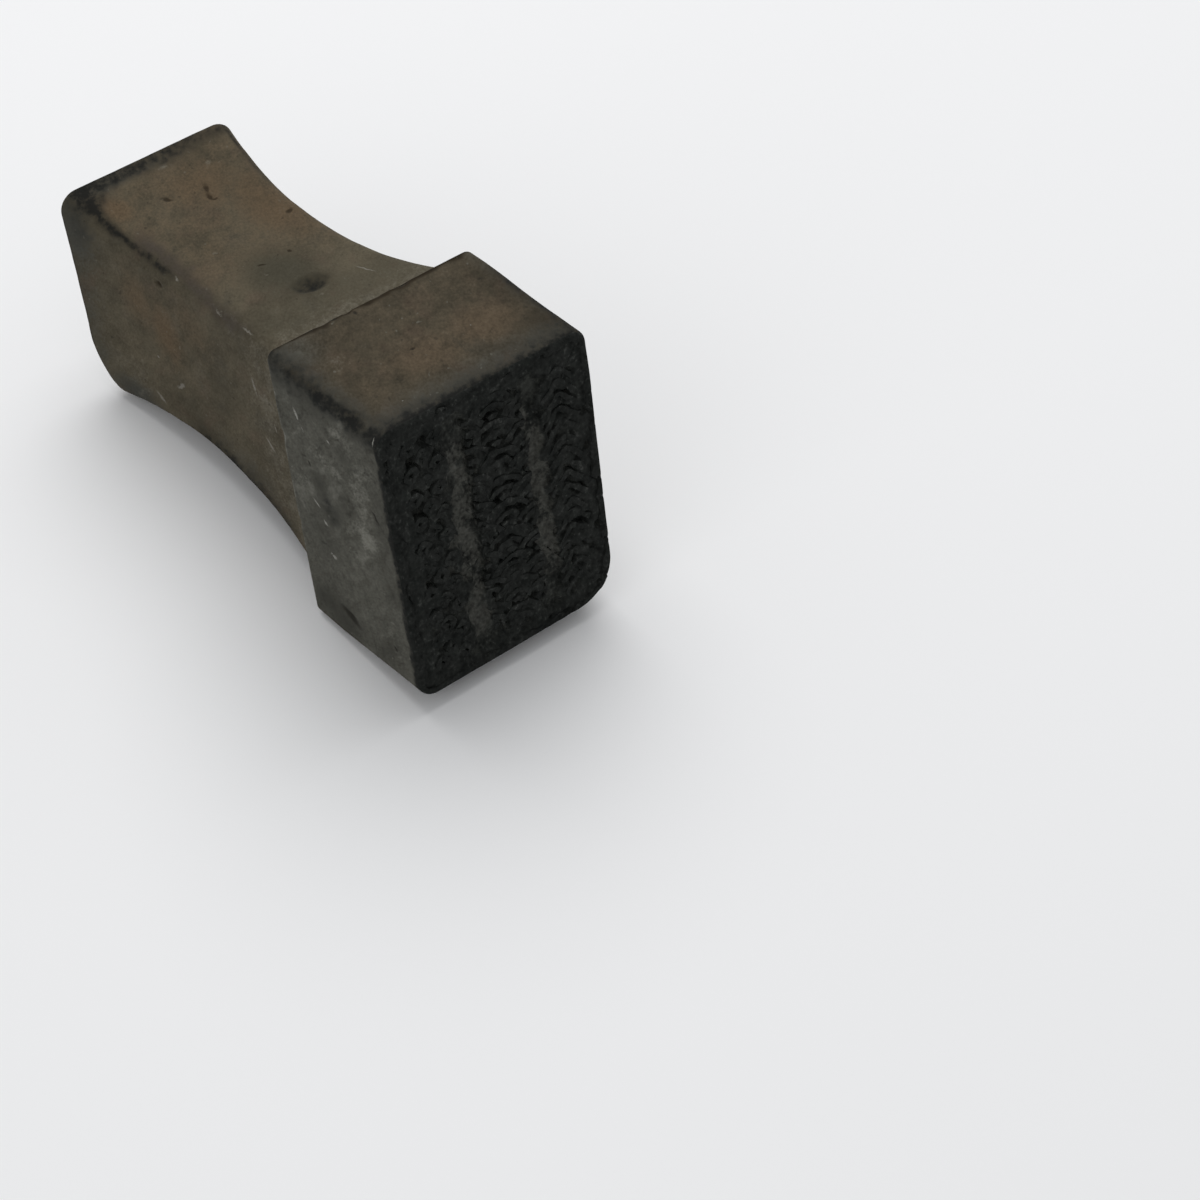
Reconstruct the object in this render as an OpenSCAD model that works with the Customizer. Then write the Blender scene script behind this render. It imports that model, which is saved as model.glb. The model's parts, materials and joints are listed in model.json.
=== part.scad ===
// Wooden hand stamp, lying on the desk as it is left between uses.
// A waisted grip is dowelled to a square head block, and a carved printing plate
// is glued to the head. Nothing on it moves.
// Each piece is drawn along the stamp's own axis: x across the printing face,
// y from the printing face back to the butt, z up. lay_down() then sets it on the desk.

/* [Head block] */
// Width of the head and of the printing face
head_w = 34; // [28:0.5:44]
// Height of the head and of the printing face
head_h = 46; // [42:0.5:60]
// Depth of the head block, without the printing plate
head_d = 22; // [19:0.5:40]
// Radius of the head's four long edges
head_edge_r = 2.5; // [1:0.25:5]

/* [Grip] */
// Length of the grip, from the shoulder to the butt
grip_l = 60.5; // [50:0.5:80]
// Step from the head's side down to the grip at the shoulder
side_ledge = 2; // [0.5:0.25:4]
// Step from the head's top or bottom to the grip at the shoulder
top_ledge = 1.5; // [0.5:0.25:4]
// Depth of the finger scoop in each side, below the shoulder
side_scoop = 2.75; // [0.5:0.25:5]
// Depth of the finger scoop in the top and in the bottom, below the shoulder
top_scoop = 5.5; // [1:0.25:7]
// Distance from the shoulder to the deepest point of the side scoops
side_scoop_at = 30; // [20:0.5:42]
// Distance from the shoulder to the deepest point of the top and bottom scoops
top_scoop_at = 37; // [24:0.5:42]
// Rise of each side from the waist back out to the butt
side_flare = 3; // [0.5:0.25:5]
// Rise of the top and of the bottom from the waist back out to the butt
top_flare = 2.25; // [0.5:0.25:5]
// Radius of the grip's four long edges
grip_edge_r = 3.25; // [1:0.25:5]
// Length of the rounded heel under the butt
heel_l = 5; // [2:0.5:8]
// Height of the rounded heel under the butt
heel_h = 12.5; // [4:0.5:16]
// Radius of the round-over on the butt's other edges
butt_r = 0.75; // [0.5:0.25:2]

/* [Index mark] */
// Width of the thumb dimple that marks the stamp's upper side
index_d = 5.5; // [3:0.5:8]
// Depth of the thumb dimple
index_depth = 0.8; // [0.3:0.1:1.2]
// Distance from the shoulder to the dimple's centre
index_at = 15.5; // [10:0.5:30]

/* [Dowel joint] */
// Diameter of the two hidden dowels
dowel_d = 8; // [5:0.5:9]
// Distance between the dowels' centres, along the head's height
dowel_pitch = 17; // [12:0.5:20]
// Length of dowel that sits in the head block
dowel_in_head = 15; // [10:0.5:17]
// Length of dowel that sits in the grip
dowel_in_grip = 20; // [12:0.5:28]
// Chamfer on each end of a dowel
dowel_chamfer = 0.75; // [0.25:0.25:1.5]
// Glue space between a dowel and its bore, all round
glue_gap = 0.05; // [0.02:0.01:0.2]
// Space for spare glue past each end of a dowel
bore_spare = 1; // [0.5:0.25:2]

/* [Printing plate] */
// Thickness of the plate behind its carved relief
plate_t = 2.6; // [1.5:0.1:5]
// Depth of the carving
relief_h = 1.2; // [0.5:0.1:2]
// Width of the raised border round the face
border_w = 1.8; // [1:0.1:3]
// Clear space between the border and the carved bands
border_gap = 0.8; // [0.4:0.1:1.5]
// Width of the band of diamonds
diamond_band_w = 7.8; // [6.5:0.1:9]
// Width of the band of waves
wave_band_w = 9.2; // [8.5:0.1:11]
// Width of each bare channel between two bands
channel_w = 2.8; // [1:0.1:3]
// Width of a raised stroke
stroke_w = 0.9; // [0.6:0.05:1]
// Least clear space between two strokes
stroke_gap = 0.6; // [0.3:0.05:0.8]
// Pitch of the diamonds up the band
diamond_pitch = 4.1; // [3.6:0.1:6]
// Pitch of the chevrons up the band
chevron_pitch = 2.2; // [1.8:0.1:4]

/* [Hidden] */
$fn = 64;

// Stations along the stamp's own axis
plate_front = relief_h;
head_front = plate_front + plate_t;
shoulder_y = head_front + head_d;

// Half sizes of the grip at the shoulder and at the waist
shoulder_a = head_w / 2 - side_ledge;
shoulder_b = head_h / 2 - top_ledge;
waist_a = shoulder_a - side_scoop;
waist_b = shoulder_b - top_scoop;

// Height of a circular arc that has risen by `rise` at the distance `reach`
function arc_rise(t, reach, rise) =
    let (r = (reach * reach + rise * rise) / (2 * rise))
    r - sqrt(r * r - t * t);

// Half size of the grip at s from the shoulder: two arcs that meet at the waist
function scooped(s, waist, at, front_rise, rear_rise) =
    waist + (s < at ? arc_rise(at - s, at, front_rise)
                    : arc_rise(s - at, grip_l - at, rear_rise));

// How far an end of length l and height h has curved in at s from the shoulder
function end_round(s, l, h) =
    let (k = max(0, s - grip_l + l) / l)
    h * (1 - sqrt(max(0, 1 - k * k)));

function grip_a(s) = scooped(s, waist_a, side_scoop_at, side_scoop, side_flare) - end_round(s, butt_r, butt_r);
function grip_b(s) = scooped(s, waist_b, top_scoop_at, top_scoop, top_flare);
function grip_top(s) = grip_b(s) - end_round(s, butt_r, butt_r);
function grip_under(s) = grip_b(s) - end_round(s, heel_l, heel_h);

// Outline of the grip at s from the shoulder: a rectangle with four rounded corners
corner_steps = 6;
ring_n = 4 * (corner_steps + 1);
function corner(cx, cz, start) =
    [for (i = [0:corner_steps])
        let (q = start + 90 * i / corner_steps)
        [cx + grip_edge_r * cos(q), cz + grip_edge_r * sin(q)]];
function grip_ring(s) =
    let (x = grip_a(s) - grip_edge_r, up = grip_top(s) - grip_edge_r, down = grip_under(s) - grip_edge_r)
    [for (p = concat(corner(x, up, 0), corner(-x, up, 90), corner(-x, -down, 180), corner(x, -down, 270)))
        [p[0], shoulder_y + s, p[1]]];

// Stations from the shoulder to the butt, closer together round the heel
scoop_steps = 26;
heel_steps = 8;
grip_stations = concat(
    [for (i = [0:scoop_steps]) (grip_l - heel_l) * i / scoop_steps],
    [for (i = [1:heel_steps]) grip_l - heel_l + heel_l * sin(90 * i / heel_steps)]);
grip_points = [for (s = grip_stations) each grip_ring(s)];
ring_count = len(grip_stations);

// The stamp tips back until the grip's heel meets the desk, about the head's lower rear edge
heel_points = [for (p = grip_points) if (p[1] > shoulder_y + grip_l / 2) p];
lay_angle = min([for (p = heel_points) atan((p[2] + head_h / 2) / (p[1] - shoulder_y))]);
front_reach = head_h / 2 * sin(lay_angle);
rear_reach = max([for (p = grip_points) p[1] * cos(lay_angle) + p[2] * sin(lay_angle)]);
lift = shoulder_y * sin(lay_angle) + head_h / 2 * cos(lay_angle);

// Printing face inside its border
inner_w = head_w - 2 * (border_w + border_gap);
inner_h = head_h - 2 * (border_w + border_gap);
chevron_band_w = inner_w - diamond_band_w - wave_band_w - 2 * channel_w;
diamond_x = -inner_w / 2 + diamond_band_w / 2;
wave_x = -inner_w / 2 + diamond_band_w + channel_w + wave_band_w / 2;
chevron_x = inner_w / 2 - chevron_band_w / 2;

// Rows of each band, spread over the height inside the border
diamond_rows = round(inner_h / diamond_pitch);
diamond_cell_w = diamond_band_w / 2;
diamond_cell_h = inner_h / diamond_rows;
wave_r = wave_band_w / 2;
wave_rows = round(inner_h / wave_r);
wave_cell_h = inner_h / wave_rows;
wave_from = 36;
chevron_rows = floor((inner_h - chevron_band_w / 2) / chevron_pitch);

// Sets a piece drawn along the stamp's own axis down on the desk
module lay_down() {
    translate([0, (front_reach - rear_reach) / 2, lift])
        rotate([-lay_angle, 0, 0])
            children();
}

// Extrudes an outline of the printing face back from y by depth
module face_extrude(y, depth) {
    translate([0, y + depth, 0])
        rotate([90, 0, 0])
            linear_extrude(depth)
                children();
}

module rounded_rect(w, h, r) {
    square([w - 2 * r, h], center = true);
    square([w, h - 2 * r], center = true);
    for (x = [-1, 1], z = [-1, 1])
        translate([x * (w / 2 - r), z * (h / 2 - r)])
            circle(r);
}

module rhombus(w, h) {
    polygon([[w / 2, 0], [0, h / 2], [-w / 2, 0], [0, -h / 2]]);
}

// Carved motifs
module border() {
    difference() {
        rounded_rect(head_w, head_h, head_edge_r);
        rounded_rect(head_w - 2 * border_w, head_h - 2 * border_w, max(0.5, head_edge_r - border_w));
    }
}

// A rhombus whose sides lie `inset` inside those of a w by h cell
module inset_rhombus(w, h, inset) {
    slant = 2 * inset * sqrt(w * w + h * h);
    rhombus(w - slant / h, h - slant / w);
}

module diamond(w, h) {
    difference() {
        inset_rhombus(w, h, stroke_gap / 2);
        inset_rhombus(w, h, stroke_gap / 2 + stroke_w);
    }
}

// Two diamonds side by side in each row, and one in each hollow between the rows
module diamond_band() {
    for (j = [0:diamond_rows - 1], i = [-0.5, 0.5])
        translate([diamond_x + i * diamond_cell_w, (j - (diamond_rows - 1) / 2) * diamond_cell_h])
            diamond(diamond_cell_w, diamond_cell_h);
    for (j = [1:diamond_rows - 1])
        translate([diamond_x, (j - diamond_rows / 2) * diamond_cell_h])
            diamond(diamond_cell_w, diamond_cell_h);
}

// Part of a ring of radius r, one stroke wide, between two angles
module arc_stroke(r, from, to) {
    reach = 2 * wave_r;
    start = reach * [cos(from), sin(from)];
    finish = reach * [cos(to), sin(to)];
    intersection() {
        difference() {
            circle(r + stroke_w / 2);
            circle(r - stroke_w / 2);
        }
        polygon([[0, 0], start, [start[0] + finish[0], reach], finish]);
    }
}

module wave(from, to) {
    pitch = stroke_w + stroke_gap;
    outer = wave_r - stroke_gap / 2 - stroke_w / 2;
    for (r = [outer:-pitch:stroke_w / 2 + stroke_gap / 2])
        arc_stroke(r, from, to);
}

// Whole waves up the middle of the band, and half waves between them at its two edges
module wave_band() {
    top = inner_h / 2 - wave_r + stroke_gap / 2;
    for (j = [0:wave_rows - 1])
        translate([wave_x, top - j * wave_cell_h])
            wave(wave_from, 180 - wave_from);
    for (j = [0:wave_rows - 2]) {
        translate([wave_x - wave_r, top - (j + 0.5) * wave_cell_h])
            wave(wave_from, 90);
        translate([wave_x + wave_r, top - (j + 0.5) * wave_cell_h])
            wave(90, 180 - wave_from);
    }
}

module chevron(w, rise) {
    polygon([[-w / 2, 0], [0, rise], [w / 2, 0], [w / 2, stroke_w], [0, rise + stroke_w], [-w / 2, stroke_w]]);
}

module chevron_band() {
    rise = chevron_band_w / 2;
    for (i = [0:chevron_rows - 1])
        translate([chevron_x, (i - (chevron_rows - 1) / 2) * chevron_pitch - rise / 2 - stroke_w / 2])
            chevron(chevron_band_w, rise);
}

// Blind bores for the two dowels, on the side of the shoulder that `depth` points to
module dowel_bores(depth) {
    for (z = [-1, 1])
        translate([0, shoulder_y, z * dowel_pitch / 2])
            rotate([depth > 0 ? -90 : 90, 0, 0])
                cylinder(d = dowel_d + 2 * glue_gap, h = abs(depth));
}

module dowel() {
    body_l = dowel_in_head + dowel_in_grip - 2 * dowel_chamfer;
    tip_d = dowel_d - 2 * dowel_chamfer;
    cylinder(d1 = tip_d, d2 = dowel_d, h = dowel_chamfer);
    translate([0, 0, dowel_chamfer])
        cylinder(d = dowel_d, h = body_l);
    translate([0, 0, dowel_chamfer + body_l])
        cylinder(d1 = dowel_d, d2 = tip_d, h = dowel_chamfer);
}

module grip_body() {
    last = (ring_count - 1) * ring_n;
    sides = [for (k = [0:ring_count - 2], i = [0:ring_n - 1])
        let (j = (i + 1) % ring_n, a = k * ring_n, b = a + ring_n)
        each [[a + i, b + i, a + j], [a + j, b + i, b + j]]];
    front = [[for (i = [0:ring_n - 1]) i]];
    butt = [[for (i = [ring_n - 1:-1:0]) last + i]];
    polyhedron(grip_points, concat(sides, front, butt));
}

// A shallow round dimple, cut by a ball that stands index_depth into the upper side
module index_dimple() {
    ball_r = (index_d * index_d / 4 + index_depth * index_depth) / (2 * index_depth);
    translate([0, shoulder_y + index_at, grip_top(index_at) + ball_r - index_depth])
        sphere(ball_r);
}

module grip() {
    color("#5a4c3c")
        lay_down()
            difference() {
                grip_body();
                dowel_bores(dowel_in_grip + bore_spare);
                index_dimple();
            }
}

module head_block() {
    color("#4d463b")
        lay_down()
            difference() {
                face_extrude(head_front, head_d)
                    rounded_rect(head_w, head_h, head_edge_r);
                dowel_bores(-dowel_in_head - bore_spare);
            }
}

module die_plate() {
    color("#232422")
        lay_down() {
            face_extrude(plate_front, plate_t)
                rounded_rect(head_w, head_h, head_edge_r);
            face_extrude(0, relief_h) {
                border();
                diamond_band();
                wave_band();
                chevron_band();
            }
        }
}

module joint_dowels() {
    color("#a88a5c")
        lay_down()
            for (z = [-1, 1])
                translate([0, shoulder_y - dowel_in_head, z * dowel_pitch / 2])
                    rotate([-90, 0, 0])
                        dowel();
}

grip();
head_block();
die_plate();
joint_dowels();
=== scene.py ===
import json
import math

import bmesh
import bpy
import numpy as np
from mathutils import Matrix, Vector, noise


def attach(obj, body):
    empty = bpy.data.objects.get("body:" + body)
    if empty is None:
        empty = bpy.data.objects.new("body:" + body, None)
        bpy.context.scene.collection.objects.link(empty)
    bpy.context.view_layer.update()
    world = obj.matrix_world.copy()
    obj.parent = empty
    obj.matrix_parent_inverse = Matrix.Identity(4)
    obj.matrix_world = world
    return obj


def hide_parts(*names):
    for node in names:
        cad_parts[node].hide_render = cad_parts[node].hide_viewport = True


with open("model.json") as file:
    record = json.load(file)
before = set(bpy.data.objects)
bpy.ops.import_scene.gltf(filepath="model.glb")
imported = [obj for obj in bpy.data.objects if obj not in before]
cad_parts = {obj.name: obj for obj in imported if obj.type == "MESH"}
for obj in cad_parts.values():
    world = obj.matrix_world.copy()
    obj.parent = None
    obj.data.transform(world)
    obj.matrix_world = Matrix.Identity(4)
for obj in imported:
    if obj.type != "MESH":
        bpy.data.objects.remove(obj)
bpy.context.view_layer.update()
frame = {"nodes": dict(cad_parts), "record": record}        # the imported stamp: one body, called root
scene = bpy.context.scene
scene.view_settings.view_transform = "Standard"
mm = 0.001

# the stamp's own axes, in mm: x across the face, y from the face to the butt, z up
stampSizes = {
    "width": 34.0,
    "height": 46.0,
    "edgeRound": 2.5,
    "relief": 1.2,
    "plate": 2.6,
    "headDepth": 22.0,
    "border": 1.8,
}
halfWidth = stampSizes["width"] / 2
halfHeight = stampSizes["height"] / 2
floorY = stampSizes["relief"]
headFront = floorY + stampSizes["plate"]
shoulderY = headFront + stampSizes["headDepth"]

# it lies tipped back on the desk, as its printing face's mount says
faceMount = next(m for m in frame["record"]["mounts"] if m["name"] == "printing_face")
tipAngle = math.atan2(faceMount["axis"][2], -faceMount["axis"][1])
tipTurn = Matrix.Rotation(-tipAngle, 4, "X")
mountInStamp = Vector((0, 0, stampSizes["border"] / 2 - halfHeight)) * mm
faceCentre = Vector(faceMount["pos_m"]) - tipTurn @ mountInStamp
stampToFrame = Matrix.Translation(faceCentre) @ tipTurn @ Matrix.Scale(mm, 4)
print("frame loaded, stamp tipped back by", round(math.degrees(tipAngle), 2), "degrees")


# node wiring: a wire is one output socket that can be used in sums
class Wire:
    def __init__(self, tree, socket):
        self.tree = tree
        self.socket = socket

    def math(self, kind, *others):
        node = self.tree.nodes.new("ShaderNodeMath")
        node.operation = kind
        for slot, value in zip(node.inputs, (self,) + others):
            plug(self.tree, slot, value)
        return Wire(self.tree, node.outputs[0])

    def __add__(self, other):
        return self.math("ADD", other)

    def __sub__(self, other):
        return self.math("SUBTRACT", other)

    def __rsub__(self, other):
        return (self * -1.0) + other

    def __mul__(self, other):
        return self.math("MULTIPLY", other)

    def __truediv__(self, other):
        return self.math("DIVIDE", other)

    def __rtruediv__(self, other):
        return (self ** -1.0) * other

    def __pow__(self, other):
        return self.math("POWER", other)

    __radd__ = __add__
    __rmul__ = __mul__


def plug(tree, slot, value):
    if isinstance(value, Wire):
        tree.links.new(value.socket, slot)
    else:
        slot.default_value = value


def addNode(tree, kind, settings=None, **sockets):        # a socket's spaces are written as _
    node = tree.nodes.new(kind)
    for name, value in (settings or {}).items():
        setattr(node, name, value)
    for name, value in sockets.items():
        plug(tree, node.inputs[name.replace("_", " ")], value)
    return node


def addWire(tree, kind, settings=None, **sockets):        # the same, giving its first live output
    node = addNode(tree, kind, settings, **sockets)
    return Wire(tree, next(out for out in node.outputs if out.enabled))


def joinXyz(tree, **parts):
    return addWire(tree, "ShaderNodeCombineXYZ", **parts)


def splitXyz(tree, vector):
    parts = addNode(tree, "ShaderNodeSeparateXYZ", Vector=vector)
    return [Wire(tree, out) for out in parts.outputs]


def vectorMath(tree, kind, *values, output="Vector", **sockets):
    node = addNode(tree, "ShaderNodeVectorMath", {"operation": kind}, **sockets)
    for slot, value in zip(node.inputs, values):
        plug(tree, slot, value)
    return Wire(tree, node.outputs[output])


def noiseWire(tree, seed, output=0, **sockets):        # noise in four dimensions, the last one its seed
    node = addNode(tree, "ShaderNodeTexNoise", {"noise_dimensions": "4D"}, W=seed, **sockets)
    return Wire(tree, node.outputs[output])


# rules that hold for wires and for arrays alike
def aboveZero(t):
    return t.math("MAXIMUM", 0.0) if isinstance(t, Wire) else np.maximum(t, 0.0)


def arcRise(t, reach, rise):        # height of a circular arc that has risen by rise at reach
    radius = (reach * reach + rise * rise) / (rise * 2.0)
    return radius - aboveZero(radius * radius - t * t) ** 0.5


def scooped(s, waist, at, frontRise, rearRise, length):        # two arcs that meet at the waist
    front = arcRise(aboveZero(at - s), at, frontRise)
    rear = arcRise(aboveZero(s - at), length - at, rearRise)
    return front + rear + waist


# the camera stands where the photograph's did
cameraSet = {
    "place": (-158.5, -276.0, 299.6),        # mm from the origin
    "aim": (3.9, -58.4, 19.8),
    "roll": -2.21,
    "lens": 88.5,
    "sensor": 36.0,
    "clipStart": 0.01,
}


def placeCamera():
    camera = bpy.data.objects.new("photoCamera", bpy.data.cameras.new("photoCamera"))
    scene.collection.objects.link(camera)
    place = Vector(cameraSet["place"]) * mm
    look = (Vector(cameraSet["aim"]) * mm - place).to_track_quat("-Z", "Y").to_matrix().to_4x4()
    roll = Matrix.Rotation(math.radians(cameraSet["roll"]), 4, "Z")
    camera.matrix_world = Matrix.Translation(place) @ look @ roll
    camera.data.lens = cameraSet["lens"]
    camera.data.sensor_width = cameraSet["sensor"]
    camera.data.clip_start = cameraSet["clipStart"]
    scene.camera = camera


lightSet = {
    "sky": 0.42,
    "skyColour": (0.97, 0.985, 1.0),
    "backdrop": 0.95,        # what the camera and reflections see past the floor
    "softbox": {"place": (0.25, 0.35, 0.9), "size": 1.1, "watts": 6.6},
    "fill": {"place": (-0.8, -0.35, 0.5), "size": 0.9, "watts": 1.2},
    "floorColour": (0.93, 0.93, 0.935),
    "floorHalf": 3.0,
}


def addSoftbox(name, place, size, watts):
    light = bpy.data.lights.new(name, "AREA")
    light.shape = "DISK"
    light.size = size
    light.energy = watts
    lamp = bpy.data.objects.new(name, light)
    lamp.location = place
    lamp.rotation_euler = (-Vector(place)).to_track_quat("-Z", "Y").to_euler()
    scene.collection.objects.link(lamp)


def lightStudio():
    world = bpy.data.worlds.new("softSky")
    scene.world = world
    world.use_nodes = True
    tree = world.node_tree
    sky = tree.nodes["Background"]
    sky.inputs["Color"].default_value = (*lightSet["skyColour"], 1)
    path = tree.nodes.new("ShaderNodeLightPath")
    rays = ("Is Camera Ray", "Is Glossy Ray", "Is Transmission Ray")
    seen = most([Wire(tree, path.outputs[ray]) for ray in rays])
    plug(tree, sky.inputs["Strength"], seen * (lightSet["backdrop"] - lightSet["sky"]) + lightSet["sky"])
    for name in ("softbox", "fill"):
        addSoftbox(name, **lightSet[name])
    half = lightSet["floorHalf"]
    corners = [(-half, -half, 0), (half, -half, 0), (half, half, 0), (-half, half, 0)]
    floorMesh = bpy.data.meshes.new("floor")
    floorMesh.from_pydata(corners, [], [(0, 1, 2, 3)])
    floor = bpy.data.objects.new("floor", floorMesh)
    scene.collection.objects.link(floor)
    paleFloor, _, shader = newFinish("paleFloor", 0.9, 0.0)
    shader.inputs["Base Color"].default_value = (*lightSet["floorColour"], 1)
    floorMesh.materials.append(paleFloor)


# mesh helpers, all in mm and in the stamp's own axes
def smooth(t):
    t = np.clip(t, 0, 1)
    return t * t * (3 - 2 * t)


def fadeIn(t, start, over):        # 0 up to start, then rising to 1
    return smooth((t - start) / over)


def fadeOut(t, end, over):        # falling to 0 at end
    return smooth((end - t) / over)


def waver(points, period, seed):        # smooth noise, -1 to 1, at each point
    places = np.column_stack([points / period, np.full(len(points), seed)])[:, :3]
    shift = Vector((seed,) * 3)
    return np.array([noise.noise(Vector(place) + shift) for place in places])


cornerSteps = 10        # of a rounded corner


def roundedRing(halfW, halfH, radius, step):        # points round a rectangle, and their normals
    across = max(2, round(2 * (halfW - radius) / step))
    upright = max(2, round(2 * (halfH - radius) / step))
    corners = ((1, 1, across), (-1, 1, upright), (-1, -1, across), (1, -1, upright))
    core = np.array([halfW - radius, halfH - radius])
    points, normals = [], []
    for k, (sideX, sideZ, flat) in enumerate(corners):
        middle = core * (sideX, sideZ)
        turns = np.radians(90 * k + np.linspace(0, 90, cornerSteps + 1))
        bow = np.column_stack([np.cos(turns), np.sin(turns)])
        run = core * corners[(k + 1) % 4][:2] - middle
        steps = np.arange(1, flat)[:, None] / flat
        points += [middle + radius * bow, middle + radius * bow[-1] + run * steps]
        normals += [bow, np.repeat(bow[-1:], flat - 1, axis=0)]
    return np.vstack(points), np.vstack(normals)


def atY(ring, y):
    return np.column_stack([ring[:, 0], np.broadcast_to(y, len(ring)), ring[:, 1]])


def capRings(rim, step):        # rings from near the middle of a flat end out to its rim
    count = max(6, round(np.abs(rim[:, ::2]).max() / step))
    return [rim * (k / count, 1, k / count) for k in range(1, count)]


def denseStations(start, end, step):
    return np.linspace(start, end, max(2, round(abs(end - start) / step) + 1))


def quarter(count):        # angles of a quarter turn, without its start
    return np.radians(np.linspace(0, 90, count + 1)[1:])


def addPiece(name, points, faces):
    mesh = bpy.data.meshes.new(name)
    mesh.from_pydata(points, [], faces)
    bm = bmesh.new()
    bm.from_mesh(mesh)
    bmesh.ops.recalc_face_normals(bm, faces=bm.faces)
    bm.to_mesh(mesh)
    bm.free()
    piece = bpy.data.objects.new(name, mesh)
    scene.collection.objects.link(piece)
    return piece


def loftPiece(name, rings):        # a closed skin over rings, each end drawn to a point
    n = len(rings[0])
    points = [tuple(p) for ring in rings for p in ring]
    faces = []
    for k in range(len(rings) - 1):
        a, b = k * n, (k + 1) * n
        faces += [(a + i, a + (i + 1) % n, b + (i + 1) % n, b + i) for i in range(n)]
    first, last = len(points), len(points) + 1
    points += [tuple(np.mean(rings[0], axis=0)), tuple(np.mean(rings[-1], axis=0))]
    top = (len(rings) - 1) * n
    faces += [(first, (i + 1) % n, i) for i in range(n)]
    faces += [(last, top + i, top + (i + 1) % n) for i in range(n)]
    return addPiece(name, points, faces)


def readPoints(piece):
    flat = np.empty(len(piece.data.vertices) * 3)
    piece.data.vertices.foreach_get("co", flat)
    return flat.reshape(-1, 3)


def movePoints(piece, points):
    piece.data.vertices.foreach_set("co", points.ravel())
    piece.data.update()


def pressDents(piece, dents):        # each dent: middle, half sizes, depth
    points = readPoints(piece)
    normals = np.empty(points.size)
    piece.data.vertex_normals.foreach_get("vector", normals)
    normals = normals.reshape(-1, 3)
    for middle, halves, depth in dents:
        reach = (((points - middle) / halves) ** 2).sum(axis=1)
        points -= normals * (depth * np.clip(1 - reach, 0, 1) ** 1.5)[:, None]
    movePoints(piece, points)


def addTones(piece, tones):        # stains, kept as one number each at every point
    for name, values in tones.items():
        layer = piece.data.attributes.new(name, "FLOAT", "POINT")
        layer.data.foreach_set("value", np.clip(values, 0, 1))


def blob(points, middle, halves):
    return np.exp(-(((points - middle) / halves) ** 2).sum(axis=1))


def spotTones(points, spots):        # under each stain's name its spots: strength, middle, half sizes
    return {stain: [strength * blob(points, middle, halves) for strength, middle, halves in rows]
            for stain, rows in spots.items()}


def band(t, at, width):
    return np.exp(-((t - at) / width) ** 2)


# stains were wiped along one slant, which draws them out by this much
wipe = {"way": (-0.38, -0.72, 0.58), "draw": 2.8}
wipeTurn = Vector(wipe["way"]).to_track_quat("Y", "Z")


def blot(points, start, end, half):        # a wiped stain from one place to another
    turn = np.array(wipeTurn.to_matrix())
    a, b, p = [np.atleast_2d(place) @ turn / (1, wipe["draw"], 1) for place in (start, end, points)]
    run = b - a
    along = np.clip((p - a) @ run.T / max((run ** 2).sum(), 1e-9), 0, 1)
    return np.exp(-((p - a - along * run) ** 2).sum(axis=1) / half ** 2)


def sideBlots(points, x, blots):        # each blot: strength, half width, (y, z) of its start and end
    return [strength * blot(points, (x, *start), (x, *end), half) for strength, half, start, end in blots]


def bakeNodes(piece):        # the modifier's result becomes the piece's own mesh
    result = piece.evaluated_get(bpy.context.evaluated_depsgraph_get())
    mesh = bpy.data.meshes.new_from_object(result)
    piece.modifiers.clear()
    piece.data = mesh
    mesh.name = piece.name


def settle(piece, node, sharp=40):        # from the stamp's axes in mm to the frame in metres
    piece.data.transform(stampToFrame)
    for face in piece.data.polygons:
        face.use_smooth = True
    piece.data.set_sharp_from_angle(angle=math.radians(sharp))
    piece.data.update()
    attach(piece, "root")
    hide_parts(node)
    print("made", piece.name, "with", len(piece.data.polygons), "faces")


# geometry node helpers
def newTree(name, values):        # a tree with a named input for each value, which come back as wires
    tree = bpy.data.node_groups.new(name, "GeometryNodeTree")
    tree.interface.new_socket("Geometry", in_out="INPUT", socket_type="NodeSocketGeometry")
    tree.interface.new_socket("Geometry", in_out="OUTPUT", socket_type="NodeSocketGeometry")
    kinds = {int: "NodeSocketInt", float: "NodeSocketFloat"}
    for label, value in values.items():
        kind = kinds.get(type(value), "NodeSocketMaterial")
        tree.interface.new_socket(label, in_out="INPUT", socket_type=kind)
    source = tree.nodes.new("NodeGroupInput")
    return tree, {socket.name: Wire(tree, socket) for socket in source.outputs if socket.name}


def useTree(piece, tree, values):        # inputs are set by identifier, before the first evaluation
    modifier = piece.modifiers.new(tree.name, "NODES")
    modifier.node_group = tree
    for item in tree.interface.items_tree:
        if item.item_type == "SOCKET" and item.in_out == "INPUT" and item.name in values:
            modifier[item.identifier] = values[item.name]
    bakeNodes(piece)


def setPosition(tree, geometry, **how):        # by its Position or its Offset
    return addWire(tree, "GeometryNodeSetPosition", Geometry=geometry, **how)


def handWorn(tree, geometry, depth, period, seed, lengthwise=1.0):        # worn in unevenly, and never out
    uneven = noiseWire(tree, seed, Scale=1 / period, Detail=2.0)
    x, y, z = splitXyz(tree, addWire(tree, "GeometryNodeInputNormal"))
    flat = ((x * x + z * z + y * y * lengthwise) ** 0.5).math("MAXIMUM", 0.01)
    reach = (1.0 / flat).math("MINIMUM", 1.5)        # the rim of a flat end moves with its side
    way = joinXyz(tree, X=x, Y=y * lengthwise, Z=z)
    shift = vectorMath(tree, "SCALE", way, Scale=uneven * depth * reach * -1.0)
    return setPosition(tree, geometry, Offset=shift)


def wearTwice(tree, given, geometry, periods, lengthwise=1.0):        # broad hollows, then fine ones
    worn = handWorn(tree, geometry, given["Broad Wear"], periods["broadPeriod"], given["Seed"], lengthwise)
    return handWorn(tree, worn, given["Fine Wear"], periods["finePeriod"], given["Seed"] + 7.0, lengthwise)


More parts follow.
